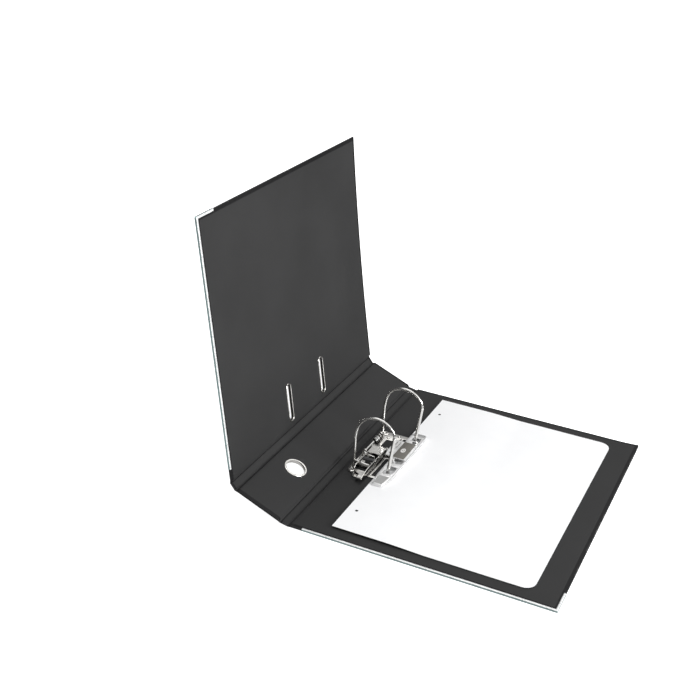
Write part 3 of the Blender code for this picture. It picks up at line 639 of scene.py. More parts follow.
def compressor_paint():
    """Bright silver finish of the compressor bar with a faint sparkle."""
    m = Mat("compressor_paint", Metallic=0.85)
    flake = m.voronoi(scale=4200.0)
    cloud = m.noise(scale=60.0, detail=4.0)
    swell = m.bump(m.noise(scale=80.0, detail=2.0), strength=0.05, distance=0.001)
    return m.set(Base_Color=m.ramp(cloud, [(0.3, (0.78, 0.78, 0.775)), (0.7, (0.86, 0.86, 0.86))]),
                 Roughness=m.span(m.math('ADD', flake, m.math('MULTIPLY', cloud, 0.5)),
                                  to=(0.24, 0.40), source=(0.1, 1.0)),
                 Normal=m.bump(flake, strength=0.08, distance=0.00003, under=swell))


def lock_grey(name, dark, light, roughness, metal):
    m = Mat(name, Metallic=metal)
    cloud = m.noise(scale=220.0, detail=4.0)
    brush = m.noise(scale=300.0, coord=m.stretch((30.0, 1.5, 1.0)))
    return m.set(Base_Color=m.ramp(m.weighted((cloud, 0.6), (brush, 0.4)),
                                   [(0.3, dark), (0.7, light)]),
                 Roughness=m.span(brush, to=(roughness - 0.07, roughness + 0.1),
                                  source=(0.3, 0.7)),
                 Normal=m.bump(brush, strength=0.12, distance=0.00005))


def paper(name, dark, light, fibre=1.0):
    """Smooth office paper with visible fibre at close range."""
    m = Mat(name)
    soft = m.noise(scale=45.0, detail=5.0, rough=0.6)
    fibre_a, fibre_b = (
        m.noise(scale=1500.0, detail=4.0, rough=0.65, coord=m.stretch(stretch, (0, 0, turn)))
        for stretch, turn in (((1.0, 3.0, 1.0), 0.4), ((3.0, 1.0, 1.0), -0.5)))
    swell = m.bump(soft, strength=0.08, distance=0.0008)
    return m.set(Base_Color=m.ramp(m.weighted((soft, 0.5), (fibre_a, 0.5)),
                                   [(0.3, dark), (0.7, light)]),
                 Roughness=m.span(fibre_b, to=(0.78, 0.92)), Specular_IOR_Level=0.3,
                 Normal=m.bump(m.math('ADD', fibre_a, fibre_b), strength=0.18 * fibre,
                               distance=0.00005, under=swell))


def clear_film():
    m = Mat("clear_pocket")
    soft = m.noise(scale=50.0)
    scuff = m.noise(scale=400.0, detail=4.0, rough=0.6,
                    coord=m.stretch((1.0, 12.0, 1.0), (0, 0, 0.7)))
    haze = m.span(scuff, to=(0.0, 1.0), source=(0.6, 0.8))
    return m.set(Base_Color=(0.92, 0.94, 0.95), IOR=1.5,
                 Roughness=m.span(scuff, to=(0.05, 0.16), source=(0.3, 0.8)),
                 Alpha=m.math('ADD', 0.14, m.math('MULTIPLY', haze, 0.10)),
                 Normal=m.bump(soft, strength=0.25, distance=0.0008))


WRAP = grained("cover_wrap", dark=(0.0055, 0.0055, 0.0062), light=(0.0105, 0.0105, 0.0115),
               roughness=0.36, grain=1150.0, depth=0.00006, wear=0.35, shine=0.32)
LINING = grained("cover_lining", dark=(0.019, 0.019, 0.0193), light=(0.028, 0.028, 0.0283),
                 roughness=0.62, grain=2100.0, depth=0.00003, wear=0.1, shine=0.26)
# turned-in covering; also the dark band at a fold's crease, which is painted shade
TURN_IN_AND_CREASE_SHADE = grained("cover_turn_in_and_crease_shade", dark=(0.0065, 0.0065, 0.007), light=(0.011, 0.011, 0.0115),
                    roughness=0.5, grain=1150.0, depth=0.00005, wear=0.4, shine=0.17)
NICKEL = plated("nickel_plate", tint=(0.80, 0.785, 0.755), roughness=0.13, wave=0.05)
WIRE = plated("nickel_wire", tint=(0.80, 0.79, 0.77), roughness=0.17, wave=0.004, scratch=0.06,
              hollow=0.35)
# the edge strip in two copies: the flange copy is less metallic and near white, painted light; the
# web copy is darker cyan grey, painted shade over the metal's faint cyan tint
EDGE_FLANGE_PAINTED_LIGHT = plated("bright_edge_strip", tint=(0.90, 0.91, 0.91), roughness=0.28, wave=0.02,
                hollow=0.0, metal=0.45)
EDGE_WEB_PAINTED_SHADE = plated("edge_strip_web_painted_shade", tint=(0.40, 0.53, 0.53), roughness=0.26, wave=0.03,
                    hollow=0.0)
# near black copy for the inner walls of the slot tubes: painted shade
PAINTED_SLOT_SHADE = plated("slot_wall_painted_shade", tint=(0.035, 0.035, 0.035), roughness=0.34, wave=0.02,
                   hollow=0.5)
SPRING = plated("spring_steel", tint=(0.50, 0.50, 0.49), roughness=0.22, wave=0.02)
ROLLER = roller_plastic()
SILVER = compressor_paint()
LOCK = lock_grey("lock_plate_grey", dark=(0.145, 0.138, 0.122), light=(0.185, 0.176, 0.158),
                 roughness=0.42, metal=0.35)
# grey of the compressor pad, also used for the line along the bar's bend, where it is painted shade
PAD_AND_EDGE_SHADE = lock_grey("compressor_pad_and_edge_shade", dark=(0.34, 0.34, 0.335), light=(0.42, 0.42, 0.415),
                roughness=0.42, metal=0.6)
MARK = lock_grey("lock_plate_mark", dark=(0.72, 0.71, 0.69), light=(0.82, 0.81, 0.80),
                 roughness=0.5, metal=0.1)
PAPER = paper("index_paper", dark=(0.90, 0.905, 0.915), light=(0.94, 0.943, 0.95))
CARD = paper("label_card", dark=(0.78, 0.78, 0.775), light=(0.84, 0.84, 0.835), fibre=1.3)
CARD_DARK = paper("label_card_dark", dark=(0.016, 0.016, 0.018), light=(0.024, 0.024, 0.026),
                  fibre=0.8)
paper("grey_board", dark=(0.16, 0.15, 0.135), light=(0.24, 0.225, 0.2), fibre=3.0)
CLEAR = clear_film()

# ================================================================ panel skins
PROTECTOR_START = 17.0      # along the -y edge, from the score line
PROTECTOR_FLANGE = 2.4
PROTECTOR_UP = 30.0         # along the free edge, from the corner
# grid lines over the ramp that comes down to a fold
RAMP_LINES = [FOLD_START + 0.1 + 0.23 * i for i in range(11)]


def inner_height(x, width=None):
    """Height of a panel's inner face; width is given if it has two folds."""
    rise = smooth01((x - FOLD_START - 0.1) / 2.3)
    if width is not None:
        rise = min(rise, smooth01((width - FOLD_START - 0.1 - x) / 2.3))
    return SKIN + (BOARD - 0.05 - SKIN) * rise


def undulate(x, y, height=0.07):
    return height * noise.noise(Vector((x * 0.013 + 3.1, y * 0.011 - 7.7, 0.4)))


def spaced(low, high, step):
    count = max(1, int(round((high - low) / step)))
    return [low + (high - low) * i / count for i in range(count + 1)]


def grid_lines(low, high, step, extra, radius, round_low, round_high):
    """Sorted grid lines, closer together where an edge is rounded."""
    lines = [v for v in spaced(low, high, step) + list(extra)
             if low - 1e-6 <= v <= high + 1e-6
             and not (round_high and high - radius < v < high)
             and not (round_low and low < v < low + radius)]
    angles = (0, 18, 36, 54, 72, 90)
    if round_high:
        lines += [high - radius + radius * math.sin(rad(a)) for a in angles]
    if round_low:
        lines += [low + radius - radius * math.sin(rad(a)) for a in angles]
    lines.sort()
    keep = [lines[0]]
    for line in lines[1:]:
        if line - keep[-1] > 1e-4:
            keep.append(line)
    return keep


def edge_drop(radius, thickness, over):
    """How far a face drops at an edge; over runs from 0 to 1 at the rim."""
    return min(radius, 0.45 * thickness) * (1 - math.sqrt(max(0.0, 1 - min(1.0, over) ** 2)))


def slab(x0, x1, y0, y1, top, bottom, radius, step, extra_x=(), extra_y=(), round_x1=True,
         plan_only=False):
    """Closed sheet over a rectangle; its y edges and, if round_x1, its x1 edge
    are rounded, with the corners between.  plan_only leaves the faces level."""
    xs = grid_lines(x0, x1, step, extra_x, radius, False, round_x1)
    ys = grid_lines(y0, y1, step, extra_y, radius, True, True)
    upper, lower = [], []
    for grid_x in xs:
        for grid_y in ys:
            over_x = over_y = 0.0
            side = 1
            if round_x1 and grid_x > x1 - radius:
                over_x = (grid_x - (x1 - radius)) / radius
            if grid_y > y1 - radius:
                over_y = (grid_y - (y1 - radius)) / radius
            elif grid_y < y0 + radius:
                over_y, side = (y0 + radius - grid_y) / radius, -1
            over = max(over_x, over_y)
            x, y = grid_x, grid_y
            if over_x > 1e-9 and over_y > 1e-9:     # square corner onto a round one
                scale = over / math.hypot(over_x, over_y)
                x = x1 - radius + over_x * scale * radius
                y = (y1 - radius if side > 0 else y0 + radius) + side * over_y * scale * radius
            high, low = top(x, y), bottom(x, y)
            drop = 0.0 if plan_only else edge_drop(radius, high - low, over)
            upper.append((x, y, high - drop))
            lower.append((x, y, low + drop))
    return two_sided(upper, lower, len(xs), len(ys))


def under_protector(x, y):
    """1 where the metal edge protector covers the board, 0 elsewhere."""
    along = (smooth01((x - PROTECTOR_START + 0.2) / 0.5)
             * smooth01((-HALF + PROTECTOR_FLANGE + 0.3 - y) / 0.5))
    up = (smooth01((x - (COVER_WIDTH - PROTECTOR_FLANGE - 0.3)) / 0.5)
          * smooth01((-HALF + PROTECTOR_UP + 0.2 - y) / 0.5))
    return max(along, up)


def cover_skin(face):
    """Covered board; face(x, y) is the height of its inner face."""
    lines_x = RAMP_LINES + [COVER_WIDTH - TURN_IN + k for k in (-0.3, 0.3)]
    lines_x += [PROTECTOR_START + k for k in (-0.3, 0, 0.4)]
    lines_x += [COVER_WIDTH - PROTECTOR_FLANGE + k for k in (-1.0, -0.5, 0, 0.4)]
    lines_y = [-HALF + PROTECTOR_FLANGE + k for k in (-0.4, 0, 0.5, 1.0)]
    lines_y += [-HALF + PROTECTOR_UP + k for k in (-0.5, 0, 0.4)]
    lines_y += [HALF - TURN_IN + k for k in (-0.3, 0.3)]
    lines_y += [-HALF + TURN_IN + k for k in (-0.3, 0.3)]
    return slab(FOLD_START, COVER_WIDTH - INSET, -HALF + INSET, HALF - INSET,
                lambda x, y: face(x, y) - 0.12 * under_protector(x, y),
                lambda x, y: 0.02 + 0.34 * under_protector(x, y),
                ROUND, step=7.0, extra_x=lines_x, extra_y=lines_y)


def lining_sheet(face, x1, step, extra_x, round_x1):
    return slab(FOLD_START, x1, -HALF + LINING_INSET, HALF - LINING_INSET,
                lambda x, y: face(x, y) + LINING_UP, lambda x, y: face(x, y) - LINING_DOWN,
                0.3, step=step, extra_x=extra_x, round_x1=round_x1)


def slot_outline(grow, y, steps):
    """Plan of a front cover slot, widened all round by grow."""
    radius = SLOT_HALF + grow
    x0, x1 = SLOT_X0 + SLOT_HALF, SLOT_X1 - SLOT_HALF
    turns = [math.pi * i / steps for i in range(steps + 1)]
    return ([(x1 + radius * math.sin(a), y - radius * math.cos(a)) for a in turns]
            + [(x0 - radius * math.sin(a), y + radius * math.cos(a)) for a in turns])


def rivet_recesses():
    profile = [(0, -2), (5.5, -2), (5.4, 0.1), (5.0, 1.15), (0, 1.15)]
    return [turned(profile, (x, y), 48) for _, x, y in RIVETS]


def slot_cutters():
    return [prism(slot_outline(0.7, y, 20), -3, 8) for y in (-POST_Y, POST_Y)]


def ring_hole():
    return [rod((RING_X, RING_Y, -3), (RING_X, RING_Y, 8), 11.7, 96)]


def finish_case(name, skin, lining, panel):
    """Skin and lining of one panel; upward faces of the skin are turned in."""
    finish(name + "_case", skin(), [WRAP, TURN_IN_AND_CREASE_SHADE], name, (name + "_wrap", name + "_board"),
           panel.place, pick=lambda face: 1 if face.normal.z > 0.75 else 0)
    finish(name + "_lining_sheet", lining(), [LINING], name, (name + "_lining",),
           panel.place)


def back_face(x, y):
    return inner_height(x) + undulate(x, y)


def front_face(x, y):
    return inner_height(x) + undulate(x + 400.0, y)


def spine_face(x, y):
    return inner_height(x, SPINE_WIDTH) + undulate(x + 900, y, 0.05)


def cover_lining(face):
    return lining_sheet(face, COVER_WIDTH - LINING_INSET, 7.0, RAMP_LINES, True)


SPINE_LINES = RAMP_LINES + [SPINE_WIDTH - FOLD_START - 0.1 - 0.23 * i for i in range(11)]
SPINE_LINES += [RING_X + k for k in (-13, -10, -5, 0, 5, 10, 13)]


def spine_skin():
    return slab(FOLD_START, SPINE_WIDTH - FOLD_START, -HALF + INSET, HALF - INSET, spine_face,
                lambda x, y: 0.02, ROUND, step=6.0, extra_x=SPINE_LINES, round_x1=False)


def spine_lining():
    return lining_sheet(spine_face, SPINE_WIDTH - FOLD_START, 6.0, SPINE_LINES, False)


finish_case("back_cover", lambda: cut(cover_skin(back_face), rivet_recesses()),
            lambda: cover_lining(back_face), BACK)
finish_case("front_cover", lambda: cut(cover_skin(front_face), slot_cutters()),
            lambda: cut(cover_lining(front_face), slot_cutters()), FRONT)
finish_case("spine", lambda: cut(spine_skin(), ring_hole()),
            lambda: cut(spine_lining(), ring_hole()), SPINE)


# ====================================================== flexible fold strips
def resample(path, steps):
    """Points evenly spaced along a polyline."""
    lengths = [0.0]
    for p, q in zip(path, path[1:]):
        lengths.append(lengths[-1] + (q - p).length)
    points, k = [], 0
    for i in range(steps + 1):
        want = lengths[-1] * i / steps
        while k < len(lengths) - 2 and lengths[k + 1] < want:
            k += 1
        part = (want - lengths[k]) / max(lengths[k + 1] - lengths[k], 1e-9)
        points.append(path[k].lerp(path[k + 1], clamp01(part)))
    return points


def in_plane(point):
    return Vector((point[0], 0, point[1]))


def inward(tangent):
    return Vector((tangent.z, 0, -tangent.x))


def fold_strip(name, start, start_along, end, end_along, bodies, stands_for):
    """Strip of covering bent between two panels, grooved at both score lines."""
    start, start_along, end, end_along = map(in_plane, (start, start_along, end, end_along))
    run = FOLD_WIDTH + 2 * FOLD_START
    steps = 56
    end_score = end - end_along * FOLD_START
    points = resample(bent([start, start + start_along * FOLD_START, end_score, end], 1.1, 8),
                      steps)
    along = tangents(points)
    along[0], along[-1] = start_along, end_along

    edge = HALF - INSET
    ys = [y for y in spaced(-edge, edge, 6.0)
          if abs(y) < edge - ROUND or abs(abs(y) - edge) < 1e-6]
    for sign in (-1, 1):
        ys += [sign * y for y in (HALF - TURN_IN - 0.6, HALF - TURN_IN - 0.3, HALF - TURN_IN,
                                  edge - ROUND)]
        ys += [sign * (edge - ROUND + ROUND * math.sin(rad(a))) for a in (18, 36, 54, 72)]
    ys = sorted(set(round(y, 5) for y in ys))

    inner, outer = [], []
    for i, (point, tangent) in enumerate(zip(points, along)):
        length = run * i / steps
        groove = (0.35 * math.exp(-((length - FOLD_START) / 0.45) ** 2)
                  + math.exp(-((length - FOLD_START - FOLD_WIDTH) / 0.45) ** 2))
        middle = (smooth01((length - FOLD_START - 0.6) / 1.2)
                  * smooth01((run - FOLD_START - 0.6 - length) / 1.2))
        normal = inward(tangent)
        for y in ys:
            over = max(0.0, abs(y) - (edge - ROUND)) / ROUND
            lined = smooth01((HALF - TURN_IN - abs(y)) / 0.5)
            high = SKIN + LINING_UP * lined - 0.42 * groove + 0.10 * middle
            high += 0.10 * middle * (1 - lined)
            high += 0.05 * middle * noise.noise(Vector((length * 0.3, y * 0.05, 2.0)))
            low = 0.02 + 0.16 * groove
            drop = edge_drop(ROUND, high - low, over)
            base = point + Vector((0, y, 0))
            inner.append(base + normal * (high - drop))
            outer.append(base + normal * (low + drop))

    inside = (inward(start_along) + inward(end_along)).normalized()

    def pick(face):
        if face.normal.dot(inside) <= 0.2:
            return 0
        centre = face.center
        # a narrow band at the score line by the end panel takes the dark turn-in material: painted
        # shade in the crease
        if (Vector((centre.x, 0, centre.z)) - end_score).length < 0.57 + SKIN * 0.5:
            return 2
        return 1 if abs(centre.y) < HALF - LINING_INSET else 0

    finish(name, two_sided(inner, outer, steps + 1, len(ys)), [WRAP, LINING, TURN_IN_AND_CREASE_SHADE], None,
           stands_for, Vector, pick=pick, blend=(*bodies, start, end), angle=60)


fold_strip("rear_fold_strip", BACK.place((FOLD_START, 0, 0)).xz, (-1.0, 0.0),
           SPINE.place((FOLD_START, 0, 0)).xz, SPINE.across,
           ("back_cover", "spine"), ("rear_hinge_strip",))
fold_strip("front_fold_strip", SPINE.place((SPINE_WIDTH - FOLD_START, 0, 0)).xz, SPINE.across,
           FRONT.place((FOLD_START, 0, 0)).xz, FRONT.across,
           ("spine", "front_cover"), ("front_hinge_strip",))


# ============================================================ edge protectors
def protector_profile():
    """(distance in from the edge, z) of the channel's section."""
    high, low = BOARD + 0.30, 0.02
    sheet, outer = 0.32, 0.95               # sheet thickness, outer radius
    inner = outer - sheet + 0.1
    lip = PROTECTOR_FLANGE
    arc = [(math.sin(rad(a)), math.cos(rad(a))) for a in range(0, 91, 15)]
    inner_arc = [(math.sin(rad(a)), math.cos(rad(a))) for a in (0, 30, 60, 90)]
    profile = [(lip, high - 0.30), (lip + 0.02, high - 0.12), (lip - 0.12, high - 0.02)]
    profile += [(outer - outer * s, high - outer + outer * c) for s, c in arc]
    profile += [(outer - outer * c, low + outer - outer * s) for s, c in arc]
    profile += [(lip - 0.12, low), (lip + 0.02, low + 0.12), (lip, low + 0.28)]
    profile += [(sheet + inner - inner * s, low + sheet + inner - inner * c)
                for s, c in inner_arc]
    profile += [(sheet + inner - inner * c, high - sheet - inner + inner * s)
                for s, c in inner_arc]
    return profile


def protector(name, panel, body, stands_for):
    """Bright steel channel pressed round the -y edge and its free corner."""
    corner_radius = 1.7
    stations = [("x", x) for x in spaced(PROTECTOR_START, COVER_WIDTH - 8, 6.0)
                + [COVER_WIDTH - 6, COVER_WIDTH - 4.6]]
    stations += [("corner", angle) for angle in (0, 11, 22, 34, 45, 56, 68, 79, 90)]
    stations += [("y", y) for y in [4.6, 6, 8] + spaced(8, PROTECTOR_UP, 5.0)[1:]]
    sections = []
    for kind, at in stations:
        section = []
        for inset, z in protector_profile():
            # both cut ends of the strip are rounded off towards the board
            trim = 0.5 * max(0.0, (inset - 2.2) / 1.2) ** 2
            if kind == "x":
                x = at + trim if at == PROTECTOR_START else at
                y = -HALF + inset
            elif kind == "y":
                x = COVER_WIDTH - inset
                y = -HALF + at - (trim if at == PROTECTOR_UP else 0.0)
            else:
                radius = max(corner_radius - inset, 0.12)
                x = COVER_WIDTH - (inset + radius) + radius * math.sin(rad(at))
                y = -HALF + (inset + radius) - radius * math.cos(rad(at))
            section.append((x, y, z))
        sections.append(section)
    # flange faces take the near white copy (painted light), the web the darker cyan grey copy
    # (painted shade)
    finish(name, loft(sections), [EDGE_WEB_PAINTED_SHADE, EDGE_FLANGE_PAINTED_LIGHT], body, (stands_for,),
           panel.place, angle=50, pick=lambda face: 1 if abs(face.normal.z) > 0.6 else 0)


protector("back_edge_metal", BACK, "back_cover", "back_edge_protector")
protector("front_edge_metal", FRONT, "front_cover", "front_edge_protector")


# ============================================================ eyelets, ring
def half_round(start, end, base, height, steps):
    """Half round rim between two offsets, above or below base."""
    centre, half = (start + end) / 2, (end - start) / 2
    return [(centre - half * math.cos(math.pi * i / steps),
             base + height * math.sin(math.pi * i / steps)) for i in range(steps + 1)]


def finger_ring(name, profile, stands_for):
    finish(name, rim(lambda radius: circle(RING_X, RING_Y, radius, 96), profile), [NICKEL],
           "spine", (stands_for,), SPINE.place, angle=50)


finger_ring("finger_ring_eyelet", half_round(10.9, 13.5, -0.06, -0.75, 12)
            + [(12.1, 0.05), (11.55, 0.2), (11.5, 3.45), (11.0, 3.5), (10.9, 3.3)],
            "finger_ring")
finger_ring("finger_ring_backing", half_round(10.95, 13.5, BOARD + 0.12, 0.72, 12)
            + [(12.4, BOARD + 0.02), (11.56, BOARD), (11.0, BOARD)], "finger_ring_washer")


def slot_rim(name, slot_y, stands_for):
    """Pressed eyelet of one slot: tube through the board, rolled both sides."""
    profile = [(0.0, 0.3)] + half_round(0.0, 1.75, -0.05, -0.55, 8)
    profile += [(1.0, 0.08), (0.5, 0.25), (0.5, BOARD - 0.1), (1.0, BOARD + 0.1)]
    profile += half_round(0.0, 1.75, BOARD + 0.2, 0.6, 8)[::-1] + [(0.0, BOARD - 0.4)]

    # the tube's inner wall takes the near black copy: painted shade inside the slot
    def pick(face):
        return 1 if 0.35 < face.center.z < BOARD + 0.1 and abs(face.normal.z) < 0.5 else 0

    finish(name, rim(lambda grow: slot_outline(grow, slot_y, 24), profile), [NICKEL, PAINTED_SLOT_SHADE],
           "front_cover", (stands_for,), FRONT.place, angle=50, pick=pick)


slot_rim("slot_rim_lower", -POST_Y, "slot_eyelet_lower")
slot_rim("slot_rim_upper", POST_Y, "slot_eyelet_upper")

# ====================================================== label pocket and card
POCKET_X0, POCKET_X1, POCKET_Y0, POCKET_Y1 = 4.0, 55.0, -56.0, 151.0


def pocket():
    """Clear film, ridged near two sides and the -y end, with a thumb notch
    in the +y end and standing slightly off the spine in between."""
    columns, rows = 26, 80
    upper, lower = [], []
    middle = (POCKET_X0 + POCKET_X1) / 2
    for i in range(columns + 1):
        x = POCKET_X0 + (POCKET_X1 - POCKET_X0) * i / columns
        side = min(x - POCKET_X0, POCKET_X1 - x)
        end_y = POCKET_Y1 - 7.0 * math.exp(-((x - middle) / 8.0) ** 4)
        for j in range(rows + 1):
            y = POCKET_Y0 + (end_y - POCKET_Y0) * (j / rows)
            belly = min(smooth01(side / 1.6), smooth01((y - POCKET_Y0) / 1.6))
            ridge = 0.10 * math.exp(-((min(side, y - POCKET_Y0) - 1.2) / 0.4) ** 2)
            ripple = 0.05 * belly * noise.noise(Vector((x * 0.05, y * 0.03, 5.0)))
            z = -0.10 - 0.42 * belly - ridge - ripple
            upper.append((x, y, z + 0.05))
            lower.append((x, y, z - 0.05))
    return two_sided(upper, lower, columns + 1, rows + 1)


def label_card():
    """Dark card with a light label over its +y part."""
    card = plate([rounded_rect(POCKET_X0 + 2.2, POCKET_X1 - 2.2,
                               POCKET_Y0 + 2.5, POCKET_Y1 - 1.0, 1.2)], -0.30, -0.10, 0.04, 1)
    label = plate([rounded_rect(POCKET_X0 + 6.0, POCKET_X1 - 6.0, 27.0, POCKET_Y1 - 5.0, 3.0)],
                  -0.36, -0.26, 0.03, 1)
    ob, pick = join_by_material([(0, card), (1, label)])
    finish("spine_label_card", ob, [CARD_DARK, CARD], "spine", ("spine_label",),
           SPINE.place, pick=pick)


finish("spine_pocket_film", pocket(), [CLEAR], "spine", ("label_pocket",),
       SPINE.place, angle=70)
label_card()

# ================================================================= mechanism
PLATE_X0, PLATE_X1, PLATE_HALF = 8.0, 64.0, 51.0
PLATE_BOTTOM, PLATE_TOP = 3.1, 4.1
SHAFT_X, SHAFT_Z, WIRE_RADIUS = 12.4, 8.5, 1.6
LEVER_X0, LEVER_X1 = 17.0, 33.4
PIVOT_Y, PIVOT_Z, PIVOT_RADIUS = 4.0, 8.6, 1.5
ROLLER_Y, ROLLER_Z, ROLLER_RADIUS = -28.0, 10.7, 2.5


# ----------------------------------------------------------------- base plate
PLATE_OUTLINE = [
    (PLATE_X0 + 3, -PLATE_HALF), (16.5, -PLATE_HALF), (18.5, -PLATE_HALF - 7),
    (26.5, -PLATE_HALF - 7), (28.5, -PLATE_HALF), (PLATE_X1 - 3, -PLATE_HALF),
    (PLATE_X1, -PLATE_HALF + 4), (PLATE_X1, PLATE_HALF - 4), (PLATE_X1 - 3, PLATE_HALF),
    (PLATE_X0 + 3, PLATE_HALF), (PLATE_X0, PLATE_HALF - 5), (PLATE_X0, -PLATE_HALF + 5)]
# x0, x1, y0, y1, corner radius
PLATE_WINDOWS = [
    (16.5, 30.5, -43.0, -31.0, 1.2), (19.0, 33.0, -27.0, -7.0, 1.2),
    (37.2, 43.0, -47.0, -6.0, 1.2), (20.5, 31.5, 12.0, 34.0, 1.2),
    (38.0, 42.5, 10.0, 44.0, 1.0), (10.6, 14.6, -8.0, 10.0, 0.8)]
# x0, x1, y0, y1
PLATE_RIBS = [
    (34.4, 36.2, 12.0, 44.0), (8.5, 10.1, -30.0, -12.0), (8.5, 10.1, 14.0, 40.0),
    (34.9, 36.6, -47.0, -8.0), (43.5, 44.9, -44.0, -8.0), (22.0, 23.6, -56.5, -50.0)]
# x, y, radius
PLATE_DOMES = [
    (10.6, -41.6, 1.5), (17.4, -47.4, 1.7), (11.4, -36.6, 1.2), (20.6, 38.4, 1.9),
    (16.9, 32.0, 1.3), (31.0, 46.6, 1.6), (44.6, -47.6, 1.5), (46.6, 47.0, 1.5)]


def pressed_rib(x0, x1, y0, y1):
    """Rib with a half round top, standing on the base plate."""
    half, x = (x1 - x0) / 2, (x0 + x1) / 2
    z, height = PLATE_TOP - 0.05, 0.55
    sections = []
    for y, rise in ((y0, 0.05), (y0 + 0.5 * half, 0.6), (y0 + 1.3 * half, 1.0),
                    (y1 - 1.3 * half, 1.0), (y1 - 0.5 * half, 0.6), (y1, 0.05)):
        reach = half * max(rise, 0.3)
        arc = [(x - reach * math.cos(math.pi * i / 8), y,
                z + height * rise * math.sin(math.pi * i / 8)) for i in range(9)]
        sections.append([(x - reach, y, z - 0.3)] + arc + [(x + reach, y, z - 0.3)])
    return loft(sections)


def pressed_dome(x, y, radius):
    top = PLATE_TOP
    profile = [(0, top - 0.3), (radius, top - 0.3), (radius, top)]
    profile += [(radius * out, top + up * radius)
                for out, up in ((0.92, 0.35), (0.7, 0.62), (0.4, 0.78), (0, 0.84))]
    return turned(profile, (x, y), 24)


def ear_outline(centre, z, radius, foot, steps):
    """Round-topped upright outline standing on foot."""
    return [(centre - radius, foot), (centre + radius, foot)] + [
        (centre + radius * math.cos(math.pi * i / steps),
         z + radius * math.sin(math.pi * i / steps)) for i in range(steps + 1)]


def bearing_ear(axis, start, end, centre, z, radius, bore):
    """Bearing ear folded up from the plate, with a bore."""
    return standing_plate([ear_outline(centre, z, radius, PLATE_BOTTOM + 0.3, 20),
                           circle(centre, z, bore, 32)], axis, start, end)


def base_plate():
    windows = [rounded_rect(*window) for window in PLATE_WINDOWS]
    shells = [plate([soften(PLATE_OUTLINE, 1.6)] + windows, PLATE_BOTTOM, PLATE_TOP, 0.22, 3)]
    shells += [pressed_rib(*rib) for rib in PLATE_RIBS]
    shells += [pressed_dome(*dome) for dome in PLATE_DOMES]
    for y0, y1 in ((-37.4, -35.6), (-11.2, -8.6), (28.6, 30.0), (33.0, 36.4)):
        shells.append(bearing_ear('Y', y0, y1, SHAFT_X, SHAFT_Z, 3.1, WIRE_RADIUS + 0.35))
    for x0, x1 in ((LEVER_X0 - 1.5, LEVER_X0 - 0.5), (LEVER_X1 + 0.5, LEVER_X1 + 1.5)):
        shells.append(bearing_ear('X', x0, x1, PIVOT_Y, PIVOT_Z, 3.2, PIVOT_RADIUS + 0.2))
    finish("base_plate_pressed", join(shells), [NICKEL], "back_cover", ("base_plate",),
           angle=40)


base_plate()

# (radius, z) of a rivet, from its outer head up to its hollow inner end
RIVET_PROFILE = [
    (0, 0.12), (2.4, 0.10), (4.2, 0.16), (4.85, 0.34), (5.0, 0.62), (4.8, 0.95), (4.2, 1.05),
    (2.2, 1.10), (2.2, 4.25), (4.0, 4.25), (4.3, 4.36), (4.3, 4.56), (4.05, 4.72), (3.3, 4.98),
    (2.6, 5.10), (2.1, 5.08), (1.75, 4.85), (1.6, 4.3), (1.3, 3.9), (0, 3.8)]
for rivet, x, y in RIVETS:
    finish(rivet + "_head", turned(RIVET_PROFILE, (x, y), 40), [NICKEL], "back_cover", (rivet,),
           angle=50)

# ---------------------------------------------------------------------- posts
ARCH_END_X, ARCH_END_Z = 59.2, 55.0     # where an arch meets its post
POST_TOP, POST_RADIUS = 54.6, 2.0
POST_LEAN = math.tan(rad(6.4))


def post(name, y):
    """Post leaning to +x towards its top, with a collar at its foot."""
    rows = [(4.4, 3.3), (4.5, 3.55), (4.8, 3.6), (5.0, 3.45), (5.15, 2.7), (5.5, 2.15),
            (6.2, POST_RADIUS)]             # (z, radius)
    rows += [(z, POST_RADIUS) for z in spaced(8, POST_TOP - 1.2, 4.0)]
    rows += [(POST_TOP - down, POST_RADIUS - narrower)
             for down, narrower in ((0.7, 0), (0.35, 0.08), (0.1, 0.3), (0, 0.62))]
    sections = []
    for z, radius in rows:
        centre = ARCH_END_X - 0.1 - (POST_TOP - z) * POST_LEAN
        sections.append([(x, side, z) for x, side in circle(centre, y, radius, 36)])
    finish(name + "_tube", loft(sections), [WIRE], "back_cover", (name,),
           angle=50)


post("post_lower", -POST_Y)
post("post_upper", POST_Y)


# ------------------------------------------------- lever pivot, spring, arches
def rods_along_x(y, z, rows):
    """Coaxial rods from rows of (x0, x1, radius, count, edge)."""
    return join([rod((x0, y, z), (x1, y, z), radius, count, edge)
                 for x0, x1, radius, count, edge in rows])


finish("lever_pivot_rivet", rods_along_x(PIVOT_Y, PIVOT_Z, (
    (LEVER_X0 - 2.3, LEVER_X1 + 2.0, PIVOT_RADIUS, 40, 0.3),
    (LEVER_X1 + 1.7, LEVER_X1 + 2.8, 2.4, 40, 0.35),
    (LEVER_X0 - 2.5, LEVER_X0 - 1.7, 1.9, 40, 0.25))),
    [NICKEL], "back_cover", ("lever_pivot_pin",))


def coil(x, z, radius, y_start, pitch, turns, per_turn):
    """Helix about an axis along y."""
    return [(x + radius * math.cos(2 * math.pi * i / per_turn), y_start + pitch * i / per_turn,
             z + radius * math.sin(2 * math.pi * i / per_turn))
            for i in range(turns * per_turn + 1)]


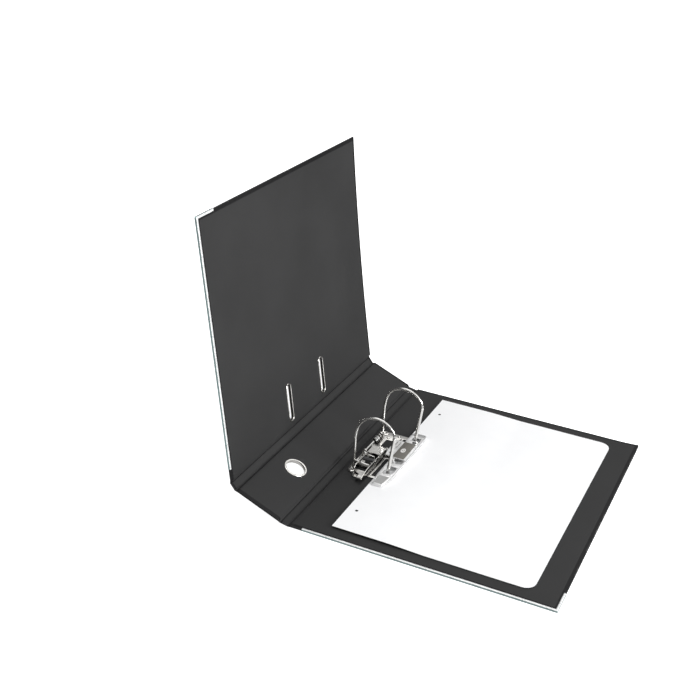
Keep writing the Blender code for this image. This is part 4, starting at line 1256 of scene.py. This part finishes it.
def arch_spring():
    """Torsion spring round the arch shaft."""
    path = [(SHAFT_X + 3.3, 15.6, SHAFT_Z - 3.6), (SHAFT_X + 3.32, 15.8, SHAFT_Z - 1.8)]
    path += coil(SHAFT_X, SHAFT_Z, 3.3, 16.0, pitch=1.45, turns=6, per_turn=28)
    path += [(SHAFT_X + 3.3, 25.2, SHAFT_Z + 1.2), (SHAFT_X + 3.2, 25.4, SHAFT_Z + 3.6)]
    finish("arch_torsion_spring", tube(path, 0.5, 12), [SPRING], "back_cover", ("arch_spring",),
           angle=60)


def arch(y):
    """One arch from its post end over the crown to its shaft leg."""
    crown_x, crown_z, leg_z = 37.0, 72.2, 40.0
    crown = (crown_x, y, crown_z)
    return (bezier((ARCH_END_X, y, ARCH_END_Z), (ARCH_END_X, y, ARCH_END_Z + 7.5),
                   (48.5, y, crown_z), crown, 26)
            + bezier(crown, (23.0, y, crown_z), (SHAFT_X, y, leg_z + 23),
                     (SHAFT_X, y, leg_z), 26, start=1))


def arch_wire():
    """Two arches, the shaft and the crank bent from one wire."""
    leg_z = 40.0
    crank_x, crank_z, crank_y0, crank_y1 = 27.8, 5.9, -33.0, -13.0
    shaft = bent([(SHAFT_X, -POST_Y, leg_z), (SHAFT_X, -POST_Y, SHAFT_Z),
                  (SHAFT_X, crank_y0, SHAFT_Z), (crank_x, crank_y0, crank_z),
                  (crank_x, crank_y1, crank_z), (SHAFT_X, crank_y1, SHAFT_Z),
                  (SHAFT_X, POST_Y, SHAFT_Z), (SHAFT_X, POST_Y, leg_z)], 2.0, 10)
    path = arch(-POST_Y) + [(SHAFT_X, -POST_Y, z) for z in (32, 26, 20, 14)] + shaft[1:-1]
    path += [(SHAFT_X, POST_Y, z) for z in (14, 20, 26, 32)] + arch(POST_Y)[::-1]
    finish("arch_wire_bent", tube(path, WIRE_RADIUS, 24), [WIRE], "arches", ("arch_wire",),
           angle=60)


arch_spring()
arch_wire()

# ---------------------------------------------------------------------- lever
# (y, z) outlines of the two side walls, which share their top edge
WALL_TOP = [(7.4, 6.4), (7.4, 10.8), (6.2, 11.6), (-9, 11.6), (-44, 12.6)]
LEFT_WALL = WALL_TOP + [
    (-48.5, 11.4), (-50.5, 8.4), (-49.5, 5.2), (-39, 5.0), (-37.5, 9.9), (-9.6, 9.9), (-8, 6.4)]
RIGHT_WALL = WALL_TOP + [
    (-52, 12.2), (-62, 9.8), (-66, 8.2), (-66, 6.0), (-62, 5.0), (-39, 5.0), (-36, 5.6),
    (0, 5.6)]
# (y, z) lines of the sheets between the walls: the finger lip rolled up at the
# free end, the upright behind it and the bridge over the pivot
FINGER_LIP = [(-46.2, 5.7)] + [(-47.2 - 0.8 * i, 5.65) for i in range(12)] + [
    (-58.0, 5.55), (-60.0, 5.5), (-63.0, 5.55), (-64.6, 5.9), (-65.3, 6.7), (-65.4, 7.6),
    (-65.2, 8.2)]
UPRIGHT = [(-40.2, 5.4), (-40.0, 7.0), (-39.8, 9.0), (-39.6, 10.9)]
BRIDGE = [(6.3, 9.4), (6.1, 10.6), (5.3, 11.1), (2.0, 11.15), (-4.0, 11.1), (-13.6, 11.1)]


def side_wall(outline, x0, x1):
    bore = circle(PIVOT_Y, PIVOT_Z, PIVOT_RADIUS + 0.25, 32)
    return standing_plate([soften(outline, 1.4, 4), bore], 'X', x0, x1, 0.2, 3)


def web(line, narrowing=lambda y: 0.0, thickness=0.9):
    """Sheet between the side walls, its -x edge moved in by narrowing(y)."""
    points = [Vector((0, y, z)) for y, z in line]
    above, below = [], []
    for point, tangent in zip(points, tangents(points)):
        normal = Vector((0, -tangent.z, tangent.y))
        above.append(point + normal * thickness / 2)
        below.append(point - normal * thickness / 2)
    loop = above + below[::-1]
    return loft([[(LEVER_X0 + 0.3 + narrowing(p.y), p.y, p.z) for p in loop],
                 [(LEVER_X1 - 0.3, p.y, p.z) for p in loop]])


def lever():
    shells = [side_wall(LEFT_WALL, LEVER_X0, LEVER_X0 + 1.0),
              side_wall(RIGHT_WALL, LEVER_X1 - 1.0, LEVER_X1),
              web(FINGER_LIP, lambda y: 8.2 * smooth01((-y - 48.6) / 6.0)),
              web(UPRIGHT), web(BRIDGE)]
    finish("lever_channel", join(shells), [NICKEL], "lever", ("lever_handle",))


def roller():
    ends = [(1.4, 1.1), (1.4, 2.1), (1.6, 2.4), (2.0, ROLLER_RADIUS)]   # (inset, radius)
    start, end = LEVER_X0 + 2.5, LEVER_X1 - 2.5
    profile = [(LEVER_X0 + inset, radius) for inset, radius in ends]
    profile += [(x, ROLLER_RADIUS - 0.12 * math.sin(math.pi * (x - start) / (end - start)))
                for x in spaced(start, end, 1.4)]
    profile += [(LEVER_X1 - inset, radius) for inset, radius in reversed(ends)]
    loops = [circle(ROLLER_Y, ROLLER_Z, radius, 40) for _, radius in profile]
    sections = [[(x, y, z) for (y, z), (x, _) in zip(points, profile)] for points in zip(*loops)]
    finish("lever_roller_sleeve", loft(sections, closed=True), [ROLLER], "roller",
           ("lever_roller",))


lever()
finish("roller_axle", rods_along_x(ROLLER_Y, ROLLER_Z, (
    (LEVER_X0 - 0.6, LEVER_X1 + 0.6, 0.75, 24, 0.1),
    (LEVER_X0 - 0.95, LEVER_X0 - 0.25, 1.5, 32, 0.25),
    (LEVER_X1 + 0.25, LEVER_X1 + 0.95, 1.5, 32, 0.25))),
    [NICKEL], "lever", ("roller_pin",))
roller()

# -------------------------------------------------------------- compressor
BAR_Y0, BAR_Y1, BAR_BOTTOM, BAR_TOP, BAR_WALL = -67.0, 57.5, 6.1, 10.6, 0.9
NEAR_TAPER_Y, FAR_TAPER_Y = -49.0, 48.0     # where the ends start to taper
LOCK_X, LOCK_Y, LOCK_Z, LOCK_HALF = 50.0, 3.5, 12.2, 19.0


def near_taper(y):
    return clamp01((NEAR_TAPER_Y - y) / (NEAR_TAPER_Y - BAR_Y0))


def bar_outline(inset, y):
    """Cross section of the pressed channel at y, its top corners rounded."""
    near = near_taper(y)
    far = clamp01((y - FAR_TAPER_Y) / (BAR_Y1 - FAR_TAPER_Y))
    x0 = 45.0 + 1.5 * max(near, far) + inset
    x1 = 62.5 - 4.0 * near - 1.0 * far - inset
    top = BAR_TOP - 2.2 * near - 1.6 * far - inset
    radius = max(1.1 - inset, 0.3)
    bottom = BAR_BOTTOM - (3 if inset else 0)
    arc = [(radius * math.sin(rad(a)), radius * math.cos(rad(a))) for a in (0, 22, 45, 68, 90)]
    points = [(x0, bottom)]
    points += [(x0 + radius - c, top - radius + s) for s, c in arc]
    points += [(x1 - radius + s, top - radius + c) for s, c in arc]
    points += [(x1, bottom)]
    return points


def bar_solid(inset):
    edge = 1.2                              # rounding of both ends
    low, high = BAR_Y0 + inset, BAR_Y1 - inset
    ends = [(edge * (1 - math.cos(rad(a))), edge * (1 - math.sin(rad(a))))
            for a in (0, 30, 60, 90)]       # (distance from the end, shrinking)
    stations = [(low + away, shrink) for away, shrink in ends]
    stations += [(y, 0.0) for y in [-64.0, -60.0, -56.0, -52.0, -49.3, -48.7, -46.0]
                 + spaced(-40, 40, 8.0) + [45.0, 47.7, 48.3, 51.0, 54.0]]
    stations += [(high - away, shrink) for away, shrink in reversed(ends)]
    sections = []
    for y, shrink in stations:
        outline = bar_outline(inset, y)
        middle = sum(p[0] for p in outline) / len(outline)
        bottom = outline[0][1]
        sections.append([(x - shrink * (1 if x > middle else -1), y,
                          z if abs(z - bottom) < 1e-6 else z - shrink * 0.9)
                         for x, z in outline])
    return loft(sections)


def bar_channel():
    """Hollow bar with its post openings and three small holes."""
    openings = [prism(rounded_rect(*rect), 8.5, 12.5) for rect in (
        (50.4, 60.4, -44.4, -28.0, 1.4), (50.4, 60.4, 36.6, 44.6, 1.4),
        (53.2, 58.4, 30.6, 34.6, 0.9))]
    pinholes = [rod((x, y, 8.5), (x, y, 12.5), 0.8, 24) for x, y in ((60.9, 11.5), (47.0, -24.0))]
    bar = bar_solid(0.0)
    cut(bar, [bar_solid(BAR_WALL)] + openings + pinholes)
    return bevel(bar, 0.12, 2, 40)


def opening_lip(y, sign):
    """Rolled lip round the outer end of a post opening."""
    x, half, foot = 55.4, 5.2, y - sign * 5.0
    arc = [(x + half * math.cos(rad(a)), y + sign * 2.6 * math.sin(rad(a)), BAR_TOP + 0.05)
           for a in range(0, 181, 10)]
    return tube([(arc[0][0], foot, BAR_TOP)] + arc + [(arc[-1][0], foot, BAR_TOP)], 0.48, 10)


def pad_z(y):
    return BAR_TOP - 2.2 * near_taper(y) + 0.02


def pad_rim():
    """Raised rim round the pad at the -y end."""
    corners = [(47.3, -50.6), (47.9, -65.2), (57.5, -65.2), (60.6, -50.6), (47.3, -50.6)]
    points = []
    for (xa, ya), (xb, yb) in zip(corners, corners[1:]):
        points += [(xa + (xb - xa) * i / 8, ya + (yb - ya) * i / 8) for i in range(8)]
    return tube([(x, y, pad_z(y)) for x, y in points + points[:1]], 0.33, 8)


def pad_floor():
    sections = []
    for part, y in ((0.0, -50.7), (0.5, -57.9), (1.0, -65.1)):
        x0, x1, z = 47.5 + 0.35 * part, 60.4 - 2.9 * part, pad_z(y)
        sections.append([(x0, y, z - 0.3), (x0, y, z + 0.03), (x1, y, z + 0.03),
                         (x1, y, z - 0.3)])
    return loft(sections)


def side_line():
    """Pressed line where the top turns down into the +x side, drawn in the
    darker pad grey: painted shade along the bend.
    """
    path = []
    for y in (-65.0, -62.0, -58.0, -54.0, -50.0, -48.0, -40.0, -20.0, 0.0, 20.0, 40.0, 47.0,
              50.0, 53.0, 56.0):
        x, z = bar_outline(0.0, y)[-2]
        path.append((x - 0.02, y, z + 0.10))
    return tube(path, 0.20, 8)


def compressor_bar():
    parts = [(0, bar_channel()), (0, opening_lip(-44.2, -1)), (0, opening_lip(44.4, 1)),
             (0, pad_rim()), (1, pad_floor()), (1, side_line())]
    for y0, y1 in ((LOCK_Y - 21.7, LOCK_Y - 20.3), (LOCK_Y + 20.3, LOCK_Y + 21.7)):
        parts.append((0, standing_plate([ear_outline(LOCK_X, LOCK_Z, 2.0, 9.9, 16)],
                                        'Y', y0, y1)))
    ob, pick = join_by_material(parts)
    finish("compressor_bar_pressed", ob, [SILVER, PAD_AND_EDGE_SHADE], "compressor", ("compressor_bar",),
           angle=45, pick=pick)


compressor_bar()
finish("lock_plate_axle",
       rod((LOCK_X, LOCK_Y - 22.4, LOCK_Z), (LOCK_X, LOCK_Y + 22.4, LOCK_Z), 1.0, 28, 0.25),
       [NICKEL], "compressor", ("lock_plate_pin",))
finish("lock_plate_torsion_spring",
       tube(coil(LOCK_X, LOCK_Z, 1.45, LOCK_Y - 4.0, pitch=1.6, turns=5, per_turn=20), 0.22, 8),
       [SPRING], "compressor", ("lock_plate_spring",), angle=60)

# ----------------------------------------------------------------- lock plate
# (x, y from the middle of the plate)
LOCK_OUTLINE = [
    (37.5, -6), (39.0, -LOCK_HALF + 2), (49, -LOCK_HALF), (61.5, -LOCK_HALF),
    (62.5, -LOCK_HALF + 1), (62.5, LOCK_HALF - 1), (61.5, LOCK_HALF), (49, LOCK_HALF),
    (37.5, LOCK_HALF - 1)]
# x0, x1, y0, y1, corner radius
LOCK_SLOTS = [(39.9, 41.3, 1.0, 16.0, 0.65), (43.2, 44.8, 1.0, 16.0, 0.65),
              (41.0, 44.6, -12.5, -5.5, 1.0)]


def on_lock(outline):
    return [(x, y + LOCK_Y) for x, y in outline]


def remove_slivers(ob):
    """Dissolves the sliver faces along the stamped edges."""
    with editing(ob.data) as bm:
        bmesh.ops.dissolve_degenerate(bm, dist=0.003, edges=bm.edges)
        longest = [max(face.edges, key=lambda edge: edge.calc_length())
                   for face in bm.faces if face.calc_area() < 1e-5]
        if longest:
            bmesh.ops.dissolve_edges(bm, edges=list(set(longest)), use_verts=False)


def lock_plate():
    """Dark inlay on a light plate, a wing with slots, a raised mark."""
    slots = [on_lock(rounded_rect(*slot)) for slot in LOCK_SLOTS]
    silver = [plate([soften(on_lock(LOCK_OUTLINE), 1.2, 4)] + slots, 13.9, 14.9, 0.2, 3)]
    bearing = [(LOCK_X + 1.9 * math.cos(math.pi * i / 12 + math.pi),
                LOCK_Z + 1.1 * math.sin(math.pi * i / 12 + math.pi)) for i in range(13)]
    bearing += [(LOCK_X + 1.9, 14.2), (LOCK_X - 1.9, 14.2)]
    for y0, y1 in ((-18.8, -17.4), (17.4, 18.8)):
        silver.append(standing_plate([bearing], 'Y', LOCK_Y + y0, LOCK_Y + y1, 0.1, 1))
    # flange turned down along the +x edge
    silver.append(bevel(box(61.6, 62.5, LOCK_Y - 15.0, LOCK_Y + 15.0, 11.4, 14.5), 0.25, 3, 34))
    for part in silver:
        remove_slivers(part)
    inlay = plate([on_lock(rounded_rect(48.0, 61.9, -LOCK_HALF + 0.5, LOCK_HALF - 0.5, 0.5))],
                  14.6, 15.06, 0.1, 2)
    mark = plate([oval(54.0, 3.0, 2.7, 4.6, 40), oval(54.0, 3.0, 1.5, 3.2, 40)],
                 15.0, 15.3, 0.08, 2)
    stroke = plate([rounded_rect(53.5, 54.5, 0.2, 5.8, 0.4)], 15.0, 15.3, 0.08, 2)
    ob, pick = join_by_material([(1, part) for part in silver]
                                + [(0, inlay), (2, mark), (2, stroke)])
    finish("lock_plate_pressed", ob, [LOCK, SILVER, MARK], "lock_plate",
           ("compressor_lock_plate",), pick=pick)


lock_plate()

# =================================================================== sheet
SHEET_X0, SHEET_X1, SHEET_HALF = 43.0, 258.0, 157.5
SHEET_BEND_X0, SHEET_BEND_X1 = 64.0, 145.0      # comes down to the cover between these
SHEET_Z, SHEET_REST_Z = 5.4, BOARD + 0.35


def sheet_z(x, y):
    part = clamp01((x - SHEET_BEND_X0) / (SHEET_BEND_X1 - SHEET_BEND_X0))
    z = SHEET_Z + (SHEET_REST_Z - SHEET_Z) * part * part * (3 - part) / 2
    free = smooth01((x - 72.0) / 40.0)
    z += free * (0.22 + 0.28 * noise.noise(Vector((x * 0.012, y * 0.010, 9.0))))
    # the edges at both y ends lift slightly
    lift = max(0.0, (abs(y) - (SHEET_HALF - 30)) / 30.0)
    return z + free * 0.5 * lift * lift


def index_sheet():
    sheet = slab(SHEET_X0, SHEET_X1, -SHEET_HALF, SHEET_HALF,
                 lambda x, y: sheet_z(x, y) + 0.12, sheet_z, 12.0, step=6.0, plan_only=True)
    cut(sheet, [rod((53.6, y, 2), (53.6, y, 9), radius, 40)
                for y, radius in ((-120.0, 1.7), (-40.0, 3.2), (40.0, 3.2), (120.0, 1.7))])
    finish("index_sheet_paper", sheet, [PAPER], "back_cover", ("index_sheet",),
           angle=60)


index_sheet()


# ============================================ stage, in metres from here on
def stage_plane(name, half_size, location, material, rotation=(0, 0, 0)):
    x, y = half_size
    mesh = bpy.data.meshes.new(name)
    mesh.from_pydata([(-x, -y, 0), (x, -y, 0), (x, y, 0), (-x, y, 0)], [], [(0, 1, 2, 3)])
    mesh.materials.append(material)
    ob = bpy.data.objects.new(name, mesh)
    scene.collection.objects.link(ob)
    ob.location = location
    ob.rotation_euler = rotation
    return ob


def floor_material():
    """Near white floor that glows more when the camera sees it."""
    m = Mat("studio_floor", Base_Color=(0.93, 0.93, 0.935), Roughness=0.9,
            Specular_IOR_Level=0.2)
    seen = m.node("ShaderNodeLightPath").outputs["Is Camera Ray"]
    return m.set(Roughness=m.span(m.noise(scale=20.0, detail=2.0), to=(0.85, 0.95)),
                 Emission_Color=(1.0, 1.0, 1.0),
                 Emission_Strength=m.span(seen, to=(0.55, 0.86)))


stage_plane("studio_floor", (6.0, 6.0), (0, 0, -0.0006), floor_material()).visible_glossy = False

# dark cards that only show in reflections: location, rotation, half size
DARK_CARDS = [((-1.3, 0.2, 0.9), (0, rad(68), 0), (0.5, 0.8)),
              ((0.2, -1.5, 0.25), (rad(90), 0, 0), (0.9, 0.10))]
dark_material = Mat("dark_card", Base_Color=(0.01, 0.01, 0.01), Roughness=1.0).material
for index, (location, rotation, half_size) in enumerate(DARK_CARDS):
    card = stage_plane("dark_card_%d" % index, half_size, location, dark_material, rotation)
    card.visible_camera = False
    card.visible_diffuse = False
    card.visible_shadow = False

# brightness of the reflected sky: (position from straight down to straight up, value)
SKY_BANDS = [(0.0, 0.45), (0.15, 0.55), (0.30, 0.60), (0.42, 0.10), (0.50, 0.03), (0.61, 0.05),
             (0.68, 0.40), (0.76, 0.48), (0.81, 1.25), (0.90, 1.30), (0.95, 0.55), (1.0, 0.45)]
DIFFUSE_SKY, CAMERA_SKY = 0.56, 1.1


def build_world():
    world = bpy.data.worlds.new("studio")
    scene.world = world
    world.use_nodes = True
    sky = Nodes(world.node_tree)
    rays = sky.node("ShaderNodeLightPath").outputs
    direction = sky.node("ShaderNodeTexCoord").outputs["Generated"]
    up = sky.node("ShaderNodeSeparateXYZ", {0: direction}).outputs["Z"]
    bands = sky.ramp(sky.span(up, to=(0.0, 1.0), source=(-1.0, 1.0)),
                     [(position, (value, value, value)) for position, value in SKY_BANDS])
    lit = sky.mix_value(rays["Is Glossy Ray"], DIFFUSE_SKY, bands)
    background = world.node_tree.nodes["Background"]
    sky.fill(background.inputs["Strength"],
             sky.mix_value(rays["Is Camera Ray"], lit, CAMERA_SKY))
    sky.fill(background.inputs["Color"], (1, 1, 1))


def area_light(name, location, target, size, power):
    light = bpy.data.lights.new(name, 'AREA')
    light.shape = 'RECTANGLE'
    light.size, light.size_y = size
    light.energy = power
    ob = bpy.data.objects.new(name, light)
    scene.collection.objects.link(ob)
    ob.location = location
    aim = Vector(target) - Vector(location)
    ob.rotation_euler = aim.to_track_quat('-Z', 'Y').to_euler()


def add_camera(location, yaw, pitch, roll, lens):
    """Camera turned by yaw from +y towards -x, pitched down, then rolled."""
    data = bpy.data.cameras.new("camera")
    camera = bpy.data.objects.new("camera", data)
    scene.collection.objects.link(camera)
    yaw, pitch, roll = rad(yaw), rad(pitch), rad(roll)
    forward = Vector((-math.sin(yaw) * math.cos(pitch), math.cos(yaw) * math.cos(pitch),
                      -math.sin(pitch)))
    right = Vector((math.cos(yaw), math.sin(yaw), 0))
    down = forward.cross(right)
    rolled_right = right * math.cos(roll) + down * math.sin(roll)
    rolled_down = down * math.cos(roll) - right * math.sin(roll)
    rotation = Matrix((rolled_right, -rolled_down, -forward)).transposed()
    camera.matrix_world = Matrix.Translation(location) @ rotation.to_4x4()
    data.sensor_width = 36.0
    data.lens = lens
    scene.camera = camera


build_world()
area_light("key_light", (1.80, -0.35, 0.74), target=(-0.15, 0, 0.12), size=(1.2, 1.0), power=47.5)
area_light("top_light", (-0.2, 0.6, 1.9), target=(0, 0, 0.05), size=(1.4, 0.8), power=6.0)
area_light("fill_light", (-1.5, -1.3, 0.8), target=(0, 0, 0.1), size=(0.8, 0.8), power=5.0)
add_camera((0.3004, -1.03287, 0.6709), yaw=24.10, pitch=25.73, roll=-3.05, lens=57.84)
scene.view_settings.view_transform = 'Standard'
